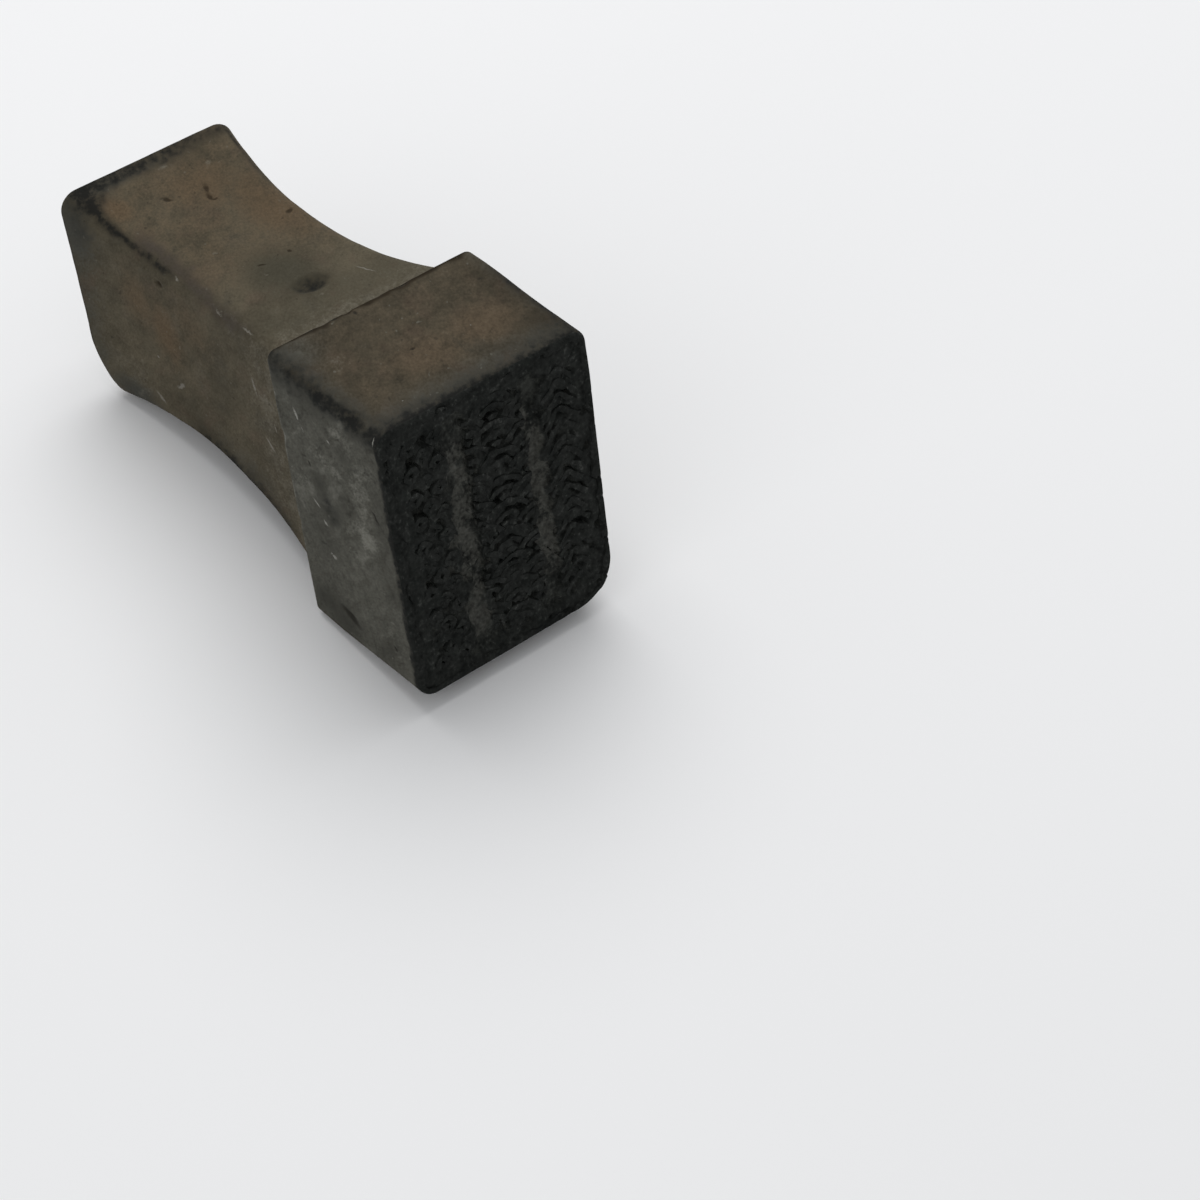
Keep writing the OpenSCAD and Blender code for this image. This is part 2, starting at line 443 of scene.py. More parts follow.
def endTree(tree, geometry, material):
    whole = addWire(tree, "GeometryNodeRealizeInstances", Geometry=geometry)
    painted = addNode(tree, "GeometryNodeSetMaterial", Geometry=whole, Material=material)
    sink = tree.nodes.new("NodeGroupOutput")
    tree.links.new(painted.outputs[0], sink.inputs[0])


# material helpers
def newFinish(name, roughness, specular):
    finish = bpy.data.materials.new(name)
    finish.use_nodes = True
    tree = finish.node_tree
    shader = tree.nodes["Principled BSDF"]
    shader.inputs["Roughness"].default_value = roughness
    shader.inputs["Specular IOR Level"].default_value = specular
    return finish, tree, shader


def stampCoords(tree):        # Object coordinates turned into the stamp's own axes, in mm
    back = stampToFrame.inverted()
    spot = tree.nodes.new("ShaderNodeTexCoord")
    turn = addNode(tree, "ShaderNodeMapping", Vector=Wire(tree, spot.outputs["Object"]))
    turn.inputs["Location"].default_value = back.to_translation()
    turn.inputs["Rotation"].default_value = back.to_euler()
    turn.inputs["Scale"].default_value = back.to_scale()
    return Wire(tree, turn.outputs[0])


def tone(tree, name):
    node = addNode(tree, "ShaderNodeAttribute", {"attribute_name": name})
    return Wire(tree, node.outputs["Fac"])


def ramp(wire, low, high):        # 0 at low, 1 at high, eased
    return addWire(wire.tree, "ShaderNodeMapRange", {"interpolation_type": "SMOOTHSTEP"}, Value=wire,
                   From_Min=low, From_Max=high)


def turned(where, middle, halves, turn=(0, 0, 0)):        # a place measured from a middle, in half sizes
    return addWire(where.tree, "ShaderNodeMapping", {"vector_type": "TEXTURE"}, Vector=where,
                   Location=middle, Rotation=[math.radians(a) for a in turn], Scale=halves)


def grain(where, period, detail, seed):        # noise, periods in mm along each axis
    place = turned(where, (0, 0, 0), period)
    return noiseWire(where.tree, seed, Vector=place, Scale=1.0, Detail=detail, Roughness=0.55)


def tint(factor, under, over):        # lays one colour over another
    tree = factor.tree
    node = tree.nodes.new("ShaderNodeMix")
    node.data_type = "RGBA"
    plug(tree, node.inputs[0], factor)
    for slot, colour in ((node.inputs[6], under), (node.inputs[7], over)):
        plug(tree, slot, colour if isinstance(colour, Wire) else (*colour, 1.0))
    return Wire(tree, node.outputs[2])


def scaled(colour, amount):        # a colour made lighter or darker
    return vectorMath(colour.tree, "SCALE", colour, Scale=amount)


def oval(where, middle, halves, turn):        # 1 well inside an oval, 0 outside
    far = vectorMath(where.tree, "LENGTH", turned(where, middle, halves, turn), output="Value")
    return ramp(far, 1.0, 0.3)


def ragged(where, amount, period, seed):        # the same place, shifted about by noise
    tree = where.tree
    shift = noiseWire(tree, seed, "Color", Vector=where, Scale=1 / period, Detail=3.0)
    centred = vectorMath(tree, "SUBTRACT", where, (amount / 2,) * 3)
    return vectorMath(tree, "MULTIPLY_ADD", shift, (amount,) * 3, centred)


def wiped(where):        # the same place in a space where a wiped stain is round
    turn = [math.degrees(a) for a in wipeTurn.to_euler()]
    return turned(where, (0, 0, 0), (1, wipe["draw"], 1), turn)


def most(wires):
    top = wires[0]
    for wire in wires[1:]:
        top = top.math("MAXIMUM", wire)
    return top


def addBump(tree, shader, height, depth):        # height about 0 to 1, depth in mm
    bump = addNode(tree, "ShaderNodeBump", Height=height, Strength=1.0, Distance=depth * mm)
    plug(tree, shader.inputs["Normal"], Wire(tree, bump.outputs["Normal"]))


def paintFinish(skin, name, roughness, specular, bump):        # skin gives a place its colour and height
    finish, tree, shader = newFinish(name, roughness, specular)
    colour, height = skin(tree, stampCoords(tree))
    plug(tree, shader.inputs["Base Color"], colour)
    addBump(tree, shader, height, bump)
    return finish


markDepth = 2.5        # how far a mark reaches through the surface, so that wear doesn't lose it


def surfaceMark(where, side, level, start, end, width, depth=markDepth):        # a scratch, fleck or pit
    start, end = Vector(start), Vector(end)
    run = end - start
    middle = (start + end) / 2
    halfLength = run.length / 2 + width
    if side == "left":        # at x = level, from (y, z) to (y, z)
        turn = math.degrees(math.atan2(run.y, run.x))
        return oval(where, (level, *middle), (depth, halfLength, width), (turn, 0, 0))
    turn = math.degrees(math.atan2(-run.x, run.y))        # at z = level, from (x, y) to (x, y)
    return oval(where, (*middle, level), (width, halfLength, depth), (0, 0, turn))


def growth(where, pith, stretch, period, seed):        # growth rings round a pith, 0 to 1
    place = turned(ragged(where, 4.0, 9.0, seed), pith, stretch)
    far = vectorMath(where.tree, "LENGTH", place, output="Value")
    return (far * (2 * math.pi / period)).math("SINE") * 0.5 + 0.5


# the worn wood that the grip and the head share: patches, stains, smears, grit, ink and single marks
woodNoise = {        # period in mm, detail, and what is added to the palette's seed
    "patches": (8.0, 4.0, 0),
    "drift": (4.5, 3.0, 1),
    "blotches": (2.3, 4.0, 2),
    "mottle": (1.0, 3.0, 10),
    "grit": (0.36, 2.0, 3),
    "specks": (0.85, 1.0, 6),
}
smearNoise = {"amount": 4.0, "raggedPeriod": 2.6, "period": 2.9, "detail": 2.8}
ringPitch = 2.3


def wornWood(tree, where, palette, marks):
    seed = palette["seed"]
    spot = wiped(where)
    patches, drift, blotches, mottle, grit, specks = [
        grain(spot, (period,) * 3, detail, seed + step) for period, detail, step in woodNoise.values()]
    fibre = grain(where, palette["fibrePeriod"], 4.0, seed + 4)
    torn = ragged(spot, smearNoise["amount"], smearNoise["raggedPeriod"], seed + 8)
    smears = grain(torn, (smearNoise["period"],) * 3, smearNoise["detail"], seed + 5)
    rings = growth(where, palette["pith"], palette["along"], ringPitch, seed + 9)
    spread = (blotches - 0.5) * 0.7 + (mottle - 0.5) * 0.5 + (grit - 0.5) * 0.5
    colour = tint(ramp(patches + (blotches - 0.5) * 0.3, 0.36, 0.64), palette["base"], palette["pale"])
    colour = tint(ramp(drift, 0.50, 0.72) * 0.7, colour, palette["rosy"])
    colour = tint(ramp(drift, 0.46, 0.28) * palette["dulled"], colour, palette["dull"])
    for stain in palette["stains"]:
        colour = tint(ramp(tone(tree, stain) + spread, 0.08, 1.0), colour, palette[stain])
    sides = tone(tree, "smear") * palette["smears"]
    colour = tint(ramp(smears, 0.5, 0.78) * sides, colour, palette["rubAndPaintedLight"])
    # the rub tone: pale worn wood, plus painted light and painted highlights by the shoulder and along the
    # head's rear edge
    colour = tint(ramp(tone(tree, "rubAndPaintedLight") + spread * 1.6, 0.2, 1.2) * 0.85, colour, palette["rubAndPaintedLight"])
    light = (grit - 0.5) * 0.8 + (0.5 - fibre) * palette["fibre"] + (blotches - 0.5) * 0.45 + 1.0
    light = light + (mottle - 0.5) * palette["mottle"]
    light = light + (patches - 0.5) * 0.5 * tone(tree, "smear")
    light = light - ramp(smears, 0.46, 0.26) * sides * 0.5
    late = ramp(rings, 0.45, 1.0) * (tone(tree, "end") * palette["endRings"] + palette["rings"])
    light = light - late
    shaded = tone(tree, "shade") * (spread * 2.0 + 1.0)
    colour = scaled(colour, light * (1.0 - shaded * 0.5))
    colour = tint(ramp(specks, 0.68, 0.78) * 0.4, colour, palette["ink"])
    colour = tint(ramp(specks, 0.30, 0.23) * 0.4, colour, palette["rubAndPaintedLight"])
    soaked = (blotches - 0.5) * 2.0 + (mottle - 0.5) * 2.2 + (grit - 0.5) * 1.0
    inked = tone(tree, "ink") * (soaked + 1.0)
    colour = tint(ramp(inked, 0.0, 1.0) * 0.96, colour, palette["ink"])
    near = ragged(where, 0.6, 0.7, seed + 7)
    pits = most([surfaceMark(near, *row) for row in marks["dark"]])
    colour = tint(pits * 0.8, colour, palette["pit"])
    chips = most([surfaceMark(near, *row) for row in marks["light"]])
    colour = tint(chips * ramp(grit, 0.25, 0.5), colour, palette["chip"])
    height = grit * 0.4 + (1.0 - fibre) * 0.4 + mottle * 0.15 - late * 0.5
    return colour, height - pits * 0.9 - chips * 0.5


# grip
gripShape = {
    "Length": 60.5,
    "Shoulder Side": 15.0,
    "Shoulder Top": 21.5,
    "Side Scoop": 2.75,
    "Top Scoop": 5.5,
    "Side Scoop At": 30.0,
    "Top Scoop At": 37.0,
    "Side Flare": 3.0,
    "Top Flare": 2.25,
    "Edge Round": 3.25,
    "Heel Length": 5.0,
    "Heel Height": 12.5,
    "Butt Round": 0.75,
    "Broad Wear": 0.4,
    "Fine Wear": 0.08,
    "Seed": 3.0,
}
gripMesh = {
    "step": 0.42,
    "hiddenStep": 1.5,
    "buttStep": 0.5,
    "heelSteps": 22,
    "broadPeriod": 14.0,
    "finePeriod": 2.6,
}
gripDents = [        # middle, half sizes, depth
    ((0.0, 41.3, 18.3), (3.3, 3.2, 2.8), 1.0),        # thumb dimple
    ((3.3, 74.6, 16.7), (0.6, 1.3, 1.5), 0.3),
    ((2.7, 72.2, 16.5), (0.75, 1.4, 1.5), 0.4),
    ((-2.3, 75.4, 16.7), (1.1, 0.7, 1.5), 0.25),
    ((9.5, 60.6, 16.1), (0.9, 1.3, 1.5), 0.3),
    ((10.8, 64.5, 16.1), (0.7, 0.9, 1.5), 0.2),
    ((-12.4, 64.0, 12.3), (1.5, 1.1, 0.8), 0.35),
    ((-12.4, 63.9, -5.9), (1.2, 0.9, 0.7), 0.25),
    ((12.6, 52.0, 6.0), (1.4, 1.6, 0.9), 0.25),
    ((13.2, 74.0, -3.0), (1.4, 0.9, 1.3), 0.3),
]
gripPalette = {
    "seed": 1.0,
    "pith": (7, 0, -46),
    "along": (1, 40, 1),
    "rings": 0.035,
    "endRings": 0.22,
    "fibre": 0.12,
    "fibrePeriod": (0.7, 6.0, 0.7),
    "mottle": 0.35,
    "dulled": 0.35,
    "smears": 0.5,
    "stains": ("warm", "moss", "plum", "grey"),
    "base": (0.0735, 0.0635, 0.0438),
    "pale": (0.0985, 0.0842, 0.0578),
    "rosy": (0.099, 0.0765, 0.0540),
    "dull": (0.066, 0.0612, 0.0485),
    "warm": (0.109, 0.0785, 0.0485),
    "moss": (0.069, 0.0625, 0.0440),
    "plum": (0.0535, 0.0452, 0.0372),
    "grey": (0.059, 0.0582, 0.0490),
    "rubAndPaintedLight": (0.150, 0.136, 0.108),
    "ink": (0.0125, 0.0126, 0.0114),
    "pit": (0.024, 0.0175, 0.0110),
    "chip": (0.185, 0.172, 0.145),
}
gripFinish = {"name": "gripWood", "roughness": 0.9, "specular": 0.05, "bump": 0.14}
gripMarks = {        # side, level, start, end, width, and its depth where that is less than usual
    "light": [        # scratches and chips
        ("left", -12.4, (65.2, -6.9), (63.0, -5.4), 0.5),
        ("left", -12.7, (68.8, -3.2), (68.8, -3.2), 0.3),
        ("left", -13.0, (71.5, -10.8), (69.7, -12.1), 0.5),
        ("left", -13.1, (39.4, 9.2), (38.5, 6.5), 0.5),
        ("left", -13.2, (38.3, -0.7), (35.9, -1.8), 0.45),
        ("left", -13.7, (34.0, 4.5), (33.6, 2.9), 0.3),
        ("top", 15.1, (-11.1, 60.1), (-11.4, 58.9), 0.2, 1.0),
        ("top", 15.7, (-11.5, 48.8), (-11.9, 46.3), 0.17, 1.0),
        ("top", 17.2, (-11.9, 41.4), (-12.3, 36.9), 0.17, 1.2),
        ("top", 18.4, (6.5, 40.4), (7.4, 35.4), 0.17),
    ],
    "dark": [        # pits
        ("top", 16.6, (3.6, 75.2), (2.7, 73.0), 0.4),
        ("top", 16.4, (2.7, 73.0), (2.5, 71.4), 0.6),
        ("top", 16.3, (2.5, 71.4), (3.0, 71.1), 0.5),
        ("top", 16.7, (-3.1, 76.2), (-2.1, 75.0), 0.5),
        ("top", 16.0, (9.7, 61.5), (8.6, 60.8), 0.5),
        ("top", 16.5, (3.1, 52.1), (3.1, 51.5), 0.36),
        ("top", 16.5, (-2.1, 51.9), (-1.3, 51.4), 0.36),
        ("left", -12.4, (64.7, 12.1), (62.9, 12.3), 0.55),
    ],
}
gripSpots = {        # strength, middle, half sizes
    "ink": [
        (1.0, (-11.4, 83.5, 17.7), (2.7, 3.1, 4)),
        (0.15, (-12, 81, -12), (6, 5, 4)),
        (0.3, (-14.3, 81.5, 14), (3, 4.5, 4)),
        (0.5, (6, 58, -17), (7, 13, 4)),
        (0.5, (9, 86, 8), (6, 2, 9)),
    ],
    "shade": [
        (0.3, (-0.9, 47.6, 17), (5.0, 7.5, 5)),
        (0.5, (0, 41.3, 17.9), (3.6, 3.4, 4)),
        (0.3, (-14.4, 82.0, 14.5), (3, 3.5, 4)),
        (0.3, (5.5, 80.7, 17.3), (3.2, 2.4, 3)),
        (0.2, (-13, 73.5, -14), (4, 3.5, 3)),
        (0.18, (8, 68, 16), (6, 12, 4)),
    ],
    "moss": [
        (1.0, (-0.9, 47.8, 17), (5.4, 8.0, 5)),
    ],
    "grey": [
        (0.95, (-14.5, 83.5, 12.5), (4, 4.5, 7)),
        (0.5, (-13, 47, -12), (3, 13, 4)),
        (0.95, (-13, 77.5, -14), (5, 7, 3.4)),
    ],
    "warm": [
        (1.0, (-9.5, 78.3, 17), (2.6, 4, 4)),
        (0.85, (8, 64, 16), (6, 14, 4)),
        (0.8, (3, 75, 17), (8, 8, 4)),
        (0.9, (-12.4, 64.8, 3.2), (3, 4.5, 6)),
        (0.7, (-12.6, 71, 6), (3, 5, 6)),
        (0.5, (-12.3, 57, 8), (3, 8, 6)),
        (0.6, (12.4, 60, 0), (3, 12, 9)),
    ],
    "rubAndPaintedLight": [
        (0.75, (1.1, 82.3, 17.5), (0.9, 0.6, 2)),
        (0.75, (6.9, 79.1, 17.1), (0.7, 0.5, 2)),
        (0.35, (-13, 76, -10), (4, 5, 4)),
    ],
}


def gripHalf(s, way, sizes):        # half the width (Side) or height (Top) at s behind the shoulder
    scoop = sizes[way + " Scoop"]
    waist = sizes["Shoulder " + way] - scoop
    return scooped(s, waist, sizes[way + " Scoop At"], scoop, sizes[way + " Flare"], sizes["Length"])


def gripTones(points):
    x, y, z = points.T
    s = y - shoulderY
    length = gripShape["Length"]
    side = gripHalf(s, "Side", gripShape)
    deep = gripHalf(s, "Top", gripShape)
    spots = spotTones(points, gripSpots)
    across = (side - np.abs(x)) - (deep - np.abs(z))        # 0 on a long edge, + on top, - on a flank
    rim = smooth(1.6 - np.minimum(side - np.abs(x), deep - np.abs(z)) / 3)        # 0 inside the butt's flat
    onButt = smooth((s - length + 0.9) / 0.6)
    onTop = smooth(across / 5 + 0.5) * (z > 0) * rim
    onFlank = smooth(0.5 - across / 5) * rim
    fromButt = length - s
    left = smooth(0.5 - x / 24)
    upperLeft = (x < 0) * (z > 0) * rim
    upperRight = (x > 0) * (z > 0) * rim
    lowerLeft = (x < 0) * (z < 0) * rim
    lowerRight = (x > 0) * (z < 0) * rim
    stray = waver(points, 2.3, 8.5) + 0.5 * waver(points, 0.9, 3.2)
    lineAt = 0.25 + 0.028 * np.maximum(y - 73, 0) ** 2 - 0.05 * np.maximum(70 - y, 0)
    lineWidth = 0.9 + 0.4 * fadeIn(y, 73, 6) + 0.9 * fadeIn(y, 79, 5)
    plumAt = 2.0 * fadeIn(y, 48, 18) - 0.8 * fadeOut(y, 54, 10)
    ink = np.maximum.reduce(spots["ink"] + [
        onTop * (0.52 + 0.20 * left) * smooth(1.4 - fromButt / (3.7 + 1.1 * stray)),
        (0.82 + 0.18 * fadeIn(y, 74, 6)) * upperLeft * fadeIn(y, 57, 7) *
        band(across + 0.5 * stray, lineAt, lineWidth),
        np.minimum(0.66, 1.1 * blob(points, (-0.2, 41.4, 18.0), (2.5, 2.0, 3)) * (1 + 0.5 * stray)),
        0.8 * smooth(1.0 - s / 0.8),
        0.75 * lowerLeft * band(across + 0.9 * stray, -1.4, 3.0) * fadeIn(y, 30, 8) * fadeOut(y, 66, 8),
        0.6 * upperRight * band(across, 0.4, 0.9) * fadeIn(y, 66, 9),
        0.5 * lowerRight * band(across, 0, 1.6) * fadeIn(y, 44, 9),
        0.55 * onButt * smooth(waver(points, 9.0, 4.5) * 1.6 + 0.35),
        0.4 * smooth(1.1 - fromButt / 1.6) * onFlank,
    ])
    shade = np.maximum.reduce(spots["shade"] + [
        0.22 * lowerLeft * band(across, -2, 5) * fadeIn(y, 28, 8) * fadeOut(y, 70, 12),
    ])
    moss = np.maximum.reduce(spots["moss"] + [
        0.5 * onTop * fadeOut(y, 44, 8),
        0.25 * onFlank * fadeIn(z, -6, 8),
    ])
    plum = 0.68 * upperLeft * band(across + 1.1 * stray, plumAt, 2.1) * fadeIn(y, 33, 10) * fadeOut(y, 76, 8)
    grey = np.maximum.reduce(spots["grey"] + [
        0.75 * onTop * (0.4 + 0.6 * left) * smooth(1.7 - fromButt / 3.2),
        0.5 * onFlank * smooth(1.2 - fromButt / 7),
        0.2 * onFlank * fadeOut(y, 45, 10) * (z < 14),
        0.45 * (z < 0) * rim * smooth(across / 5 + 0.5),
        0.5 * onButt,
    ])
    warm = np.maximum.reduce(spots["warm"] + [
        0.4 * onTop * fadeIn(y, 40, 14),
    ])
    rubAndPaintedLight = np.maximum.reduce(spots["rubAndPaintedLight"] + [
        0.35 * rim * band(across, 0, 0.8) * fadeOut(y, 58, 10),
        # painted light: lifts the flank by the head, where the head's shadow falls, mottled like the light
        # scratches there
        0.4 * onFlank * fadeOut(y, 48, 11),
        # painted highlight on the top by the shoulder
        0.6 * onTop * fadeOut(y, 36, 9),
    ])
    return {"ink": ink, "grey": grey, "warm": warm, "moss": moss, "plum": plum, "rubAndPaintedLight": rubAndPaintedLight, "shade": shade,
            "end": onButt, "smear": 0.3 * onFlank + 0.3 * onButt}


def gripSkin(tree, where):
    return wornWood(tree, where, gripPalette, gripMarks)


def gripTree(values):
    tree, given = newTree("scoopedGrip", values)
    x, y, z = splitXyz(tree, addWire(tree, "GeometryNodeInputPosition"))
    s = y - shoulderY
    length, edge = given["Length"], given["Edge Round"]

    def endRound(reach, drop):
        k = (aboveZero(s - length + reach) / reach).math("MINIMUM", 1.0)
        return drop * (1.0 - aboveZero(1.0 - k * k) ** 0.5)

    def stretched(value, straight, wanted):        # moves the flats and keeps the rounded edge as it is
        core = value.math("MINIMUM", straight - edge).math("MAXIMUM", edge - straight)
        return core * (wanted - edge) / (straight - edge) + (value - core)

    butt = endRound(given["Butt Round"], given["Butt Round"])
    heel = endRound(given["Heel Length"], given["Heel Height"])
    below = z.math("LESS_THAN", 0.0)
    side = gripHalf(s, "Side", given) - butt
    deep = gripHalf(s, "Top", given) - butt + (butt - heel) * below
    shaped = joinXyz(tree, X=stretched(x, given["Shoulder Side"], side), Y=y,
                     Z=stretched(z, given["Shoulder Top"], deep))
    grip = setPosition(tree, given["Geometry"], Position=shaped)
    endTree(tree, wearTwice(tree, given, grip, gripMesh), given["Finish"])
    return tree


def makeGrip():
    length, heel, step = gripShape["Length"], gripShape["Heel Length"], gripMesh["step"]
    halves = gripShape["Shoulder Side"], gripShape["Shoulder Top"]
    ring, _ = roundedRing(*halves, gripShape["Edge Round"], step)
    stations = list(denseStations(0, length - heel, step))
    stations += list(length - heel + heel * np.sin(quarter(gripMesh["heelSteps"])))
    rings = capRings(atY(ring, shoulderY), gripMesh["hiddenStep"])
    rings += [atY(ring, shoulderY + s) for s in stations]
    rings += capRings(atY(ring, shoulderY + length), gripMesh["buttStep"])[::-1]
    grip = loftPiece("woodenGrip", rings)
    values = {**gripShape, "Finish": paintFinish(gripSkin, **gripFinish)}
    useTree(grip, gripTree(values), values)
    pressDents(grip, gripDents)
    addTones(grip, gripTones(readPoints(grip)))
    settle(grip, "grip")


# head block
headShape = {
    "Broad Wear": 0.3,
    "Fine Wear": 0.06,
    "Seed": 5.0,
}
headMesh = {
    "step": 0.42,
    "hiddenStep": 1.5,
    "rearRound": 0.55,
    "rearSteps": 5,
    "rearEdge": 1.6,        # radius of the long edges at the rear, where they are less worn
    "crispFrom": 3.0,
    "crispOver": 14.0,
    "broadPeriod": 12.0,
    "finePeriod": 3.4,
}
headDents = [        # nicks along the rear edge, then bruises
    ((-3.8, 25.6, 23), (1.0, 0.9, 0.8), 0.35),
    ((-7.6, 25.7, 23), (1.6, 0.7, 0.7), 0.25),
    ((1.2, 25.7, 23), (1.3, 0.6, 0.6), 0.25),
    ((5.1, 25.6, 23), (1.8, 0.8, 0.7), 0.3),
    ((-17, 25.5, 9), (0.7, 0.9, 1.6), 0.3),
    ((-17, 25.6, -6), (0.7, 0.7, 1.2), 0.25),
    ((17, 25.4, 2), (0.8, 1.0, 1.8), 0.35),
    ((-16.3, 6.0, 22.3), (1.2, 1.8, 1.2), 0.3),
    ((-17, 16.5, 1.6), (1.0, 2.2, 1.6), 0.2),
    ((-17, 15.6, -17.0), (0.9, 2.4, 0.8), 0.22),
    ((-17, 3.9, 7.7), (0.9, 1.6, 0.6), 0.18),
    ((-2.3, 12.5, 23), (0.8, 0.7, 0.8), 0.15),
    ((17, 12.0, -8), (0.9, 2.0, 1.1), 0.25),
    ((4, 14.0, -23), (2.4, 1.4, 0.9), 0.25),
]
wornCorners = [((1, -1), 6.8, 15.0), ((-1, -1), 3.1, 10.0)]        # sides, radius at the face, reach
headPalette = {
    "seed": 21.0,
    "pith": (0, 58, -30),
    "along": (40, 1, 1),
    "rings": 0.04,
    "endRings": 0.02,
    "fibre": 0.14,
    "fibrePeriod": (6.0, 1.1, 8.0),
    "mottle": 0.65,
    "dulled": 0.5,
    "smears": 0.75,
    "stains": ("warm", "grey", "umber"),
    "base": (0.054, 0.0463, 0.0325),
    "pale": (0.071, 0.060, 0.0415),
    "rosy": (0.078, 0.059, 0.042),
    "warm": (0.090, 0.068, 0.045),
    "dull": (0.064, 0.0585, 0.0455),
    "grey": (0.0840, 0.0822, 0.0688),
    "umber": (0.0230, 0.0172, 0.0105),
    "rubAndPaintedLight": (0.170, 0.167, 0.143),
    "ink": (0.0120, 0.0124, 0.0116),
    "pit": (0.0175, 0.0160, 0.0130),
    "chip": (0.25, 0.245, 0.22),
}
headFinish = {"name": "headWood", "roughness": 0.9, "specular": 0.05, "bump": 0.12}
headMarks = {        # rows as for the grip
    "light": [
        ("left", -17, (20.8, 16.3), (20.1, 14.6), 0.45),
        ("left", -17, (19.4, 13.9), (19.3, 13.2), 0.22),
        ("left", -17, (25.2, 9.8), (25.1, 8.2), 0.24),
        ("left", -17, (13.2, 15.1), (12.8, 14.9), 0.3),
        ("left", -17, (18.1, -1.5), (17.7, -1.9), 0.36),
        ("left", -17, (17.9, -7.2), (17.0, -7.5), 0.45),
        ("left", -16.6, (1.4, 21.9), (1.3, 20.9), 0.19),
        ("left", -17, (20.0, 1.3), (18.6, 0.5), 0.26),
        ("top", 23, (6.2, 11.2), (6.2, 11.2), 0.16),
        ("top", 23, (-9.7, 4.2), (-9.7, 4.2), 0.16),
    ],
    "dark": [
        ("left", -17, (18.2, -16.4), (13.4, -18.1), 1.0),
        ("left", -17, (4.6, 8.4), (3.0, 6.9), 0.5),
        ("left", -17, (19.4, 8.1), (19.1, 7.6), 0.3),
        ("left", -17, (4.9, -15.8), (4.5, -16.3), 0.4),
        ("top", 23, (-2.5, 12.5), (-2.1, 12.5), 0.4),
        ("top", 23, (-3.1, 24.9), (-3.2, 24.1), 0.4),
        ("top", 23, (-6.6, 25.5), (-5.8, 25.2), 0.4),
        ("top", 23, (-10.6, 25.5), (-9.2, 25.4), 0.3),
        ("top", 23, (4.2, 25.5), (6.2, 25.4), 0.3),
    ],
}
headBlots = {        # on the left side: strength, half width, (y, z) of the start and the end
    "rubAndPaintedLight": [
        (1.0, 0.8, (8.5, 20.6), (8.7, 20.2)),
        (1.0, 1.0, (10.8, 17.7), (10.0, 18.0)),
        (0.6, 0.8, (8.1, 17.9), (7.7, 15.9)),
        (0.65, 0.9, (17.6, 11.2), (13.6, 10.3)),
        (0.95, 0.8, (12.8, 10.3), (11.8, 10.1)),
        (1.0, 1.2, (5.8, 13.7), (4.9, 14.0)),
        (0.75, 1.5, (7.1, 10.8), (6.4, 7.4)),
        (1.0, 1.2, (8.9, 3.2), (5.9, 1.7)),
        (0.7, 1.1, (11.4, 0.8), (8.9, 3.2)),
        (0.55, 1.3, (24.0, 2.0), (21.2, 3.7)),
        (0.45, 1.4, (5.2, -14.0), (4.2, -17.0)),
    ],
    "ink": [
        (0.5, 1.5, (16.8, 2.7), (15.1, 0.7)),
        (0.3, 0.9, (17.5, 5.9), (17.3, 4.8)),
        (0.5, 0.7, (23.6, 19.8), (21.4, 20.6)),
        (0.4, 0.6, (21.6, 18.4), (20.4, 19.2)),
    ],
    "shade": [
        (0.5, 1.6, (17.6, 6.4), (17.0, 4.4)),
        (0.4, 1.9, (19.2, -3.6), (18.2, -5.6)),
        (0.45, 1.3, (10.0, 15.6), (8.8, 15.0)),
        (0.35, 0.9, (5.9, 20.8), (5.4, 20.2)),
        (0.4, 1.3, (12.6, 6.6), (12.0, 4.8)),
        (0.75, 2.0, (22.0, -17.4), (16.0, -19.5)),
        (0.5, 1.3, (7.8, -18.6), (4.8, -16.0)),
        (0.35, 1.5, (2.4, 12.0), (2.4, -6.0)),
    ],
}
headSpots = {        # strength, middle, half sizes
    "ink": [
        (0.5, (-15.0, 3.0, 23), (3.0, 2.8, 2)),
        (0.5, (-16.3, 22.0, 21.6), (2.4, 3.6, 3.0)),
        (0.85, (16.6, 2.6, 22.4), (2.9, 3.8, 2.5)),
        (0.5, (5, 15, -23), (9, 6, 4)),
    ],
    "shade": [
        (0.38, (-16.8, 22.0, 20.0), (3.2, 4.4, 3.6)),
        (0.6, (15.8, 5.0, 23), (4, 6, 3)),
        (0.22, (-15, 22.5, 22.5), (4.2, 5.5, 3)),
        (0.16, (-9, 20, 23), (8, 6, 3)),
        (0.4, (15, 14, 23), (3, 12, 3)),
    ],
    "grey": [
        (0.75, (-15.0, 23, 22.5), (4.6, 5.0, 4)),
    ],
    "warm": [
        (1.0, (8, 10.5, 23), (6, 5, 5)),
        (0.85, (-2, 10, 23), (7, 5, 5)),
        (0.4, (-11, 9, 23), (4, 8, 3)),
    ],
    "rubAndPaintedLight": [
        (0.16, (-11.6, 15.2, 23), (2.4, 3.6, 2)),
        (0.5, (17, 9, 6), (2, 3, 6)),
    ],
}


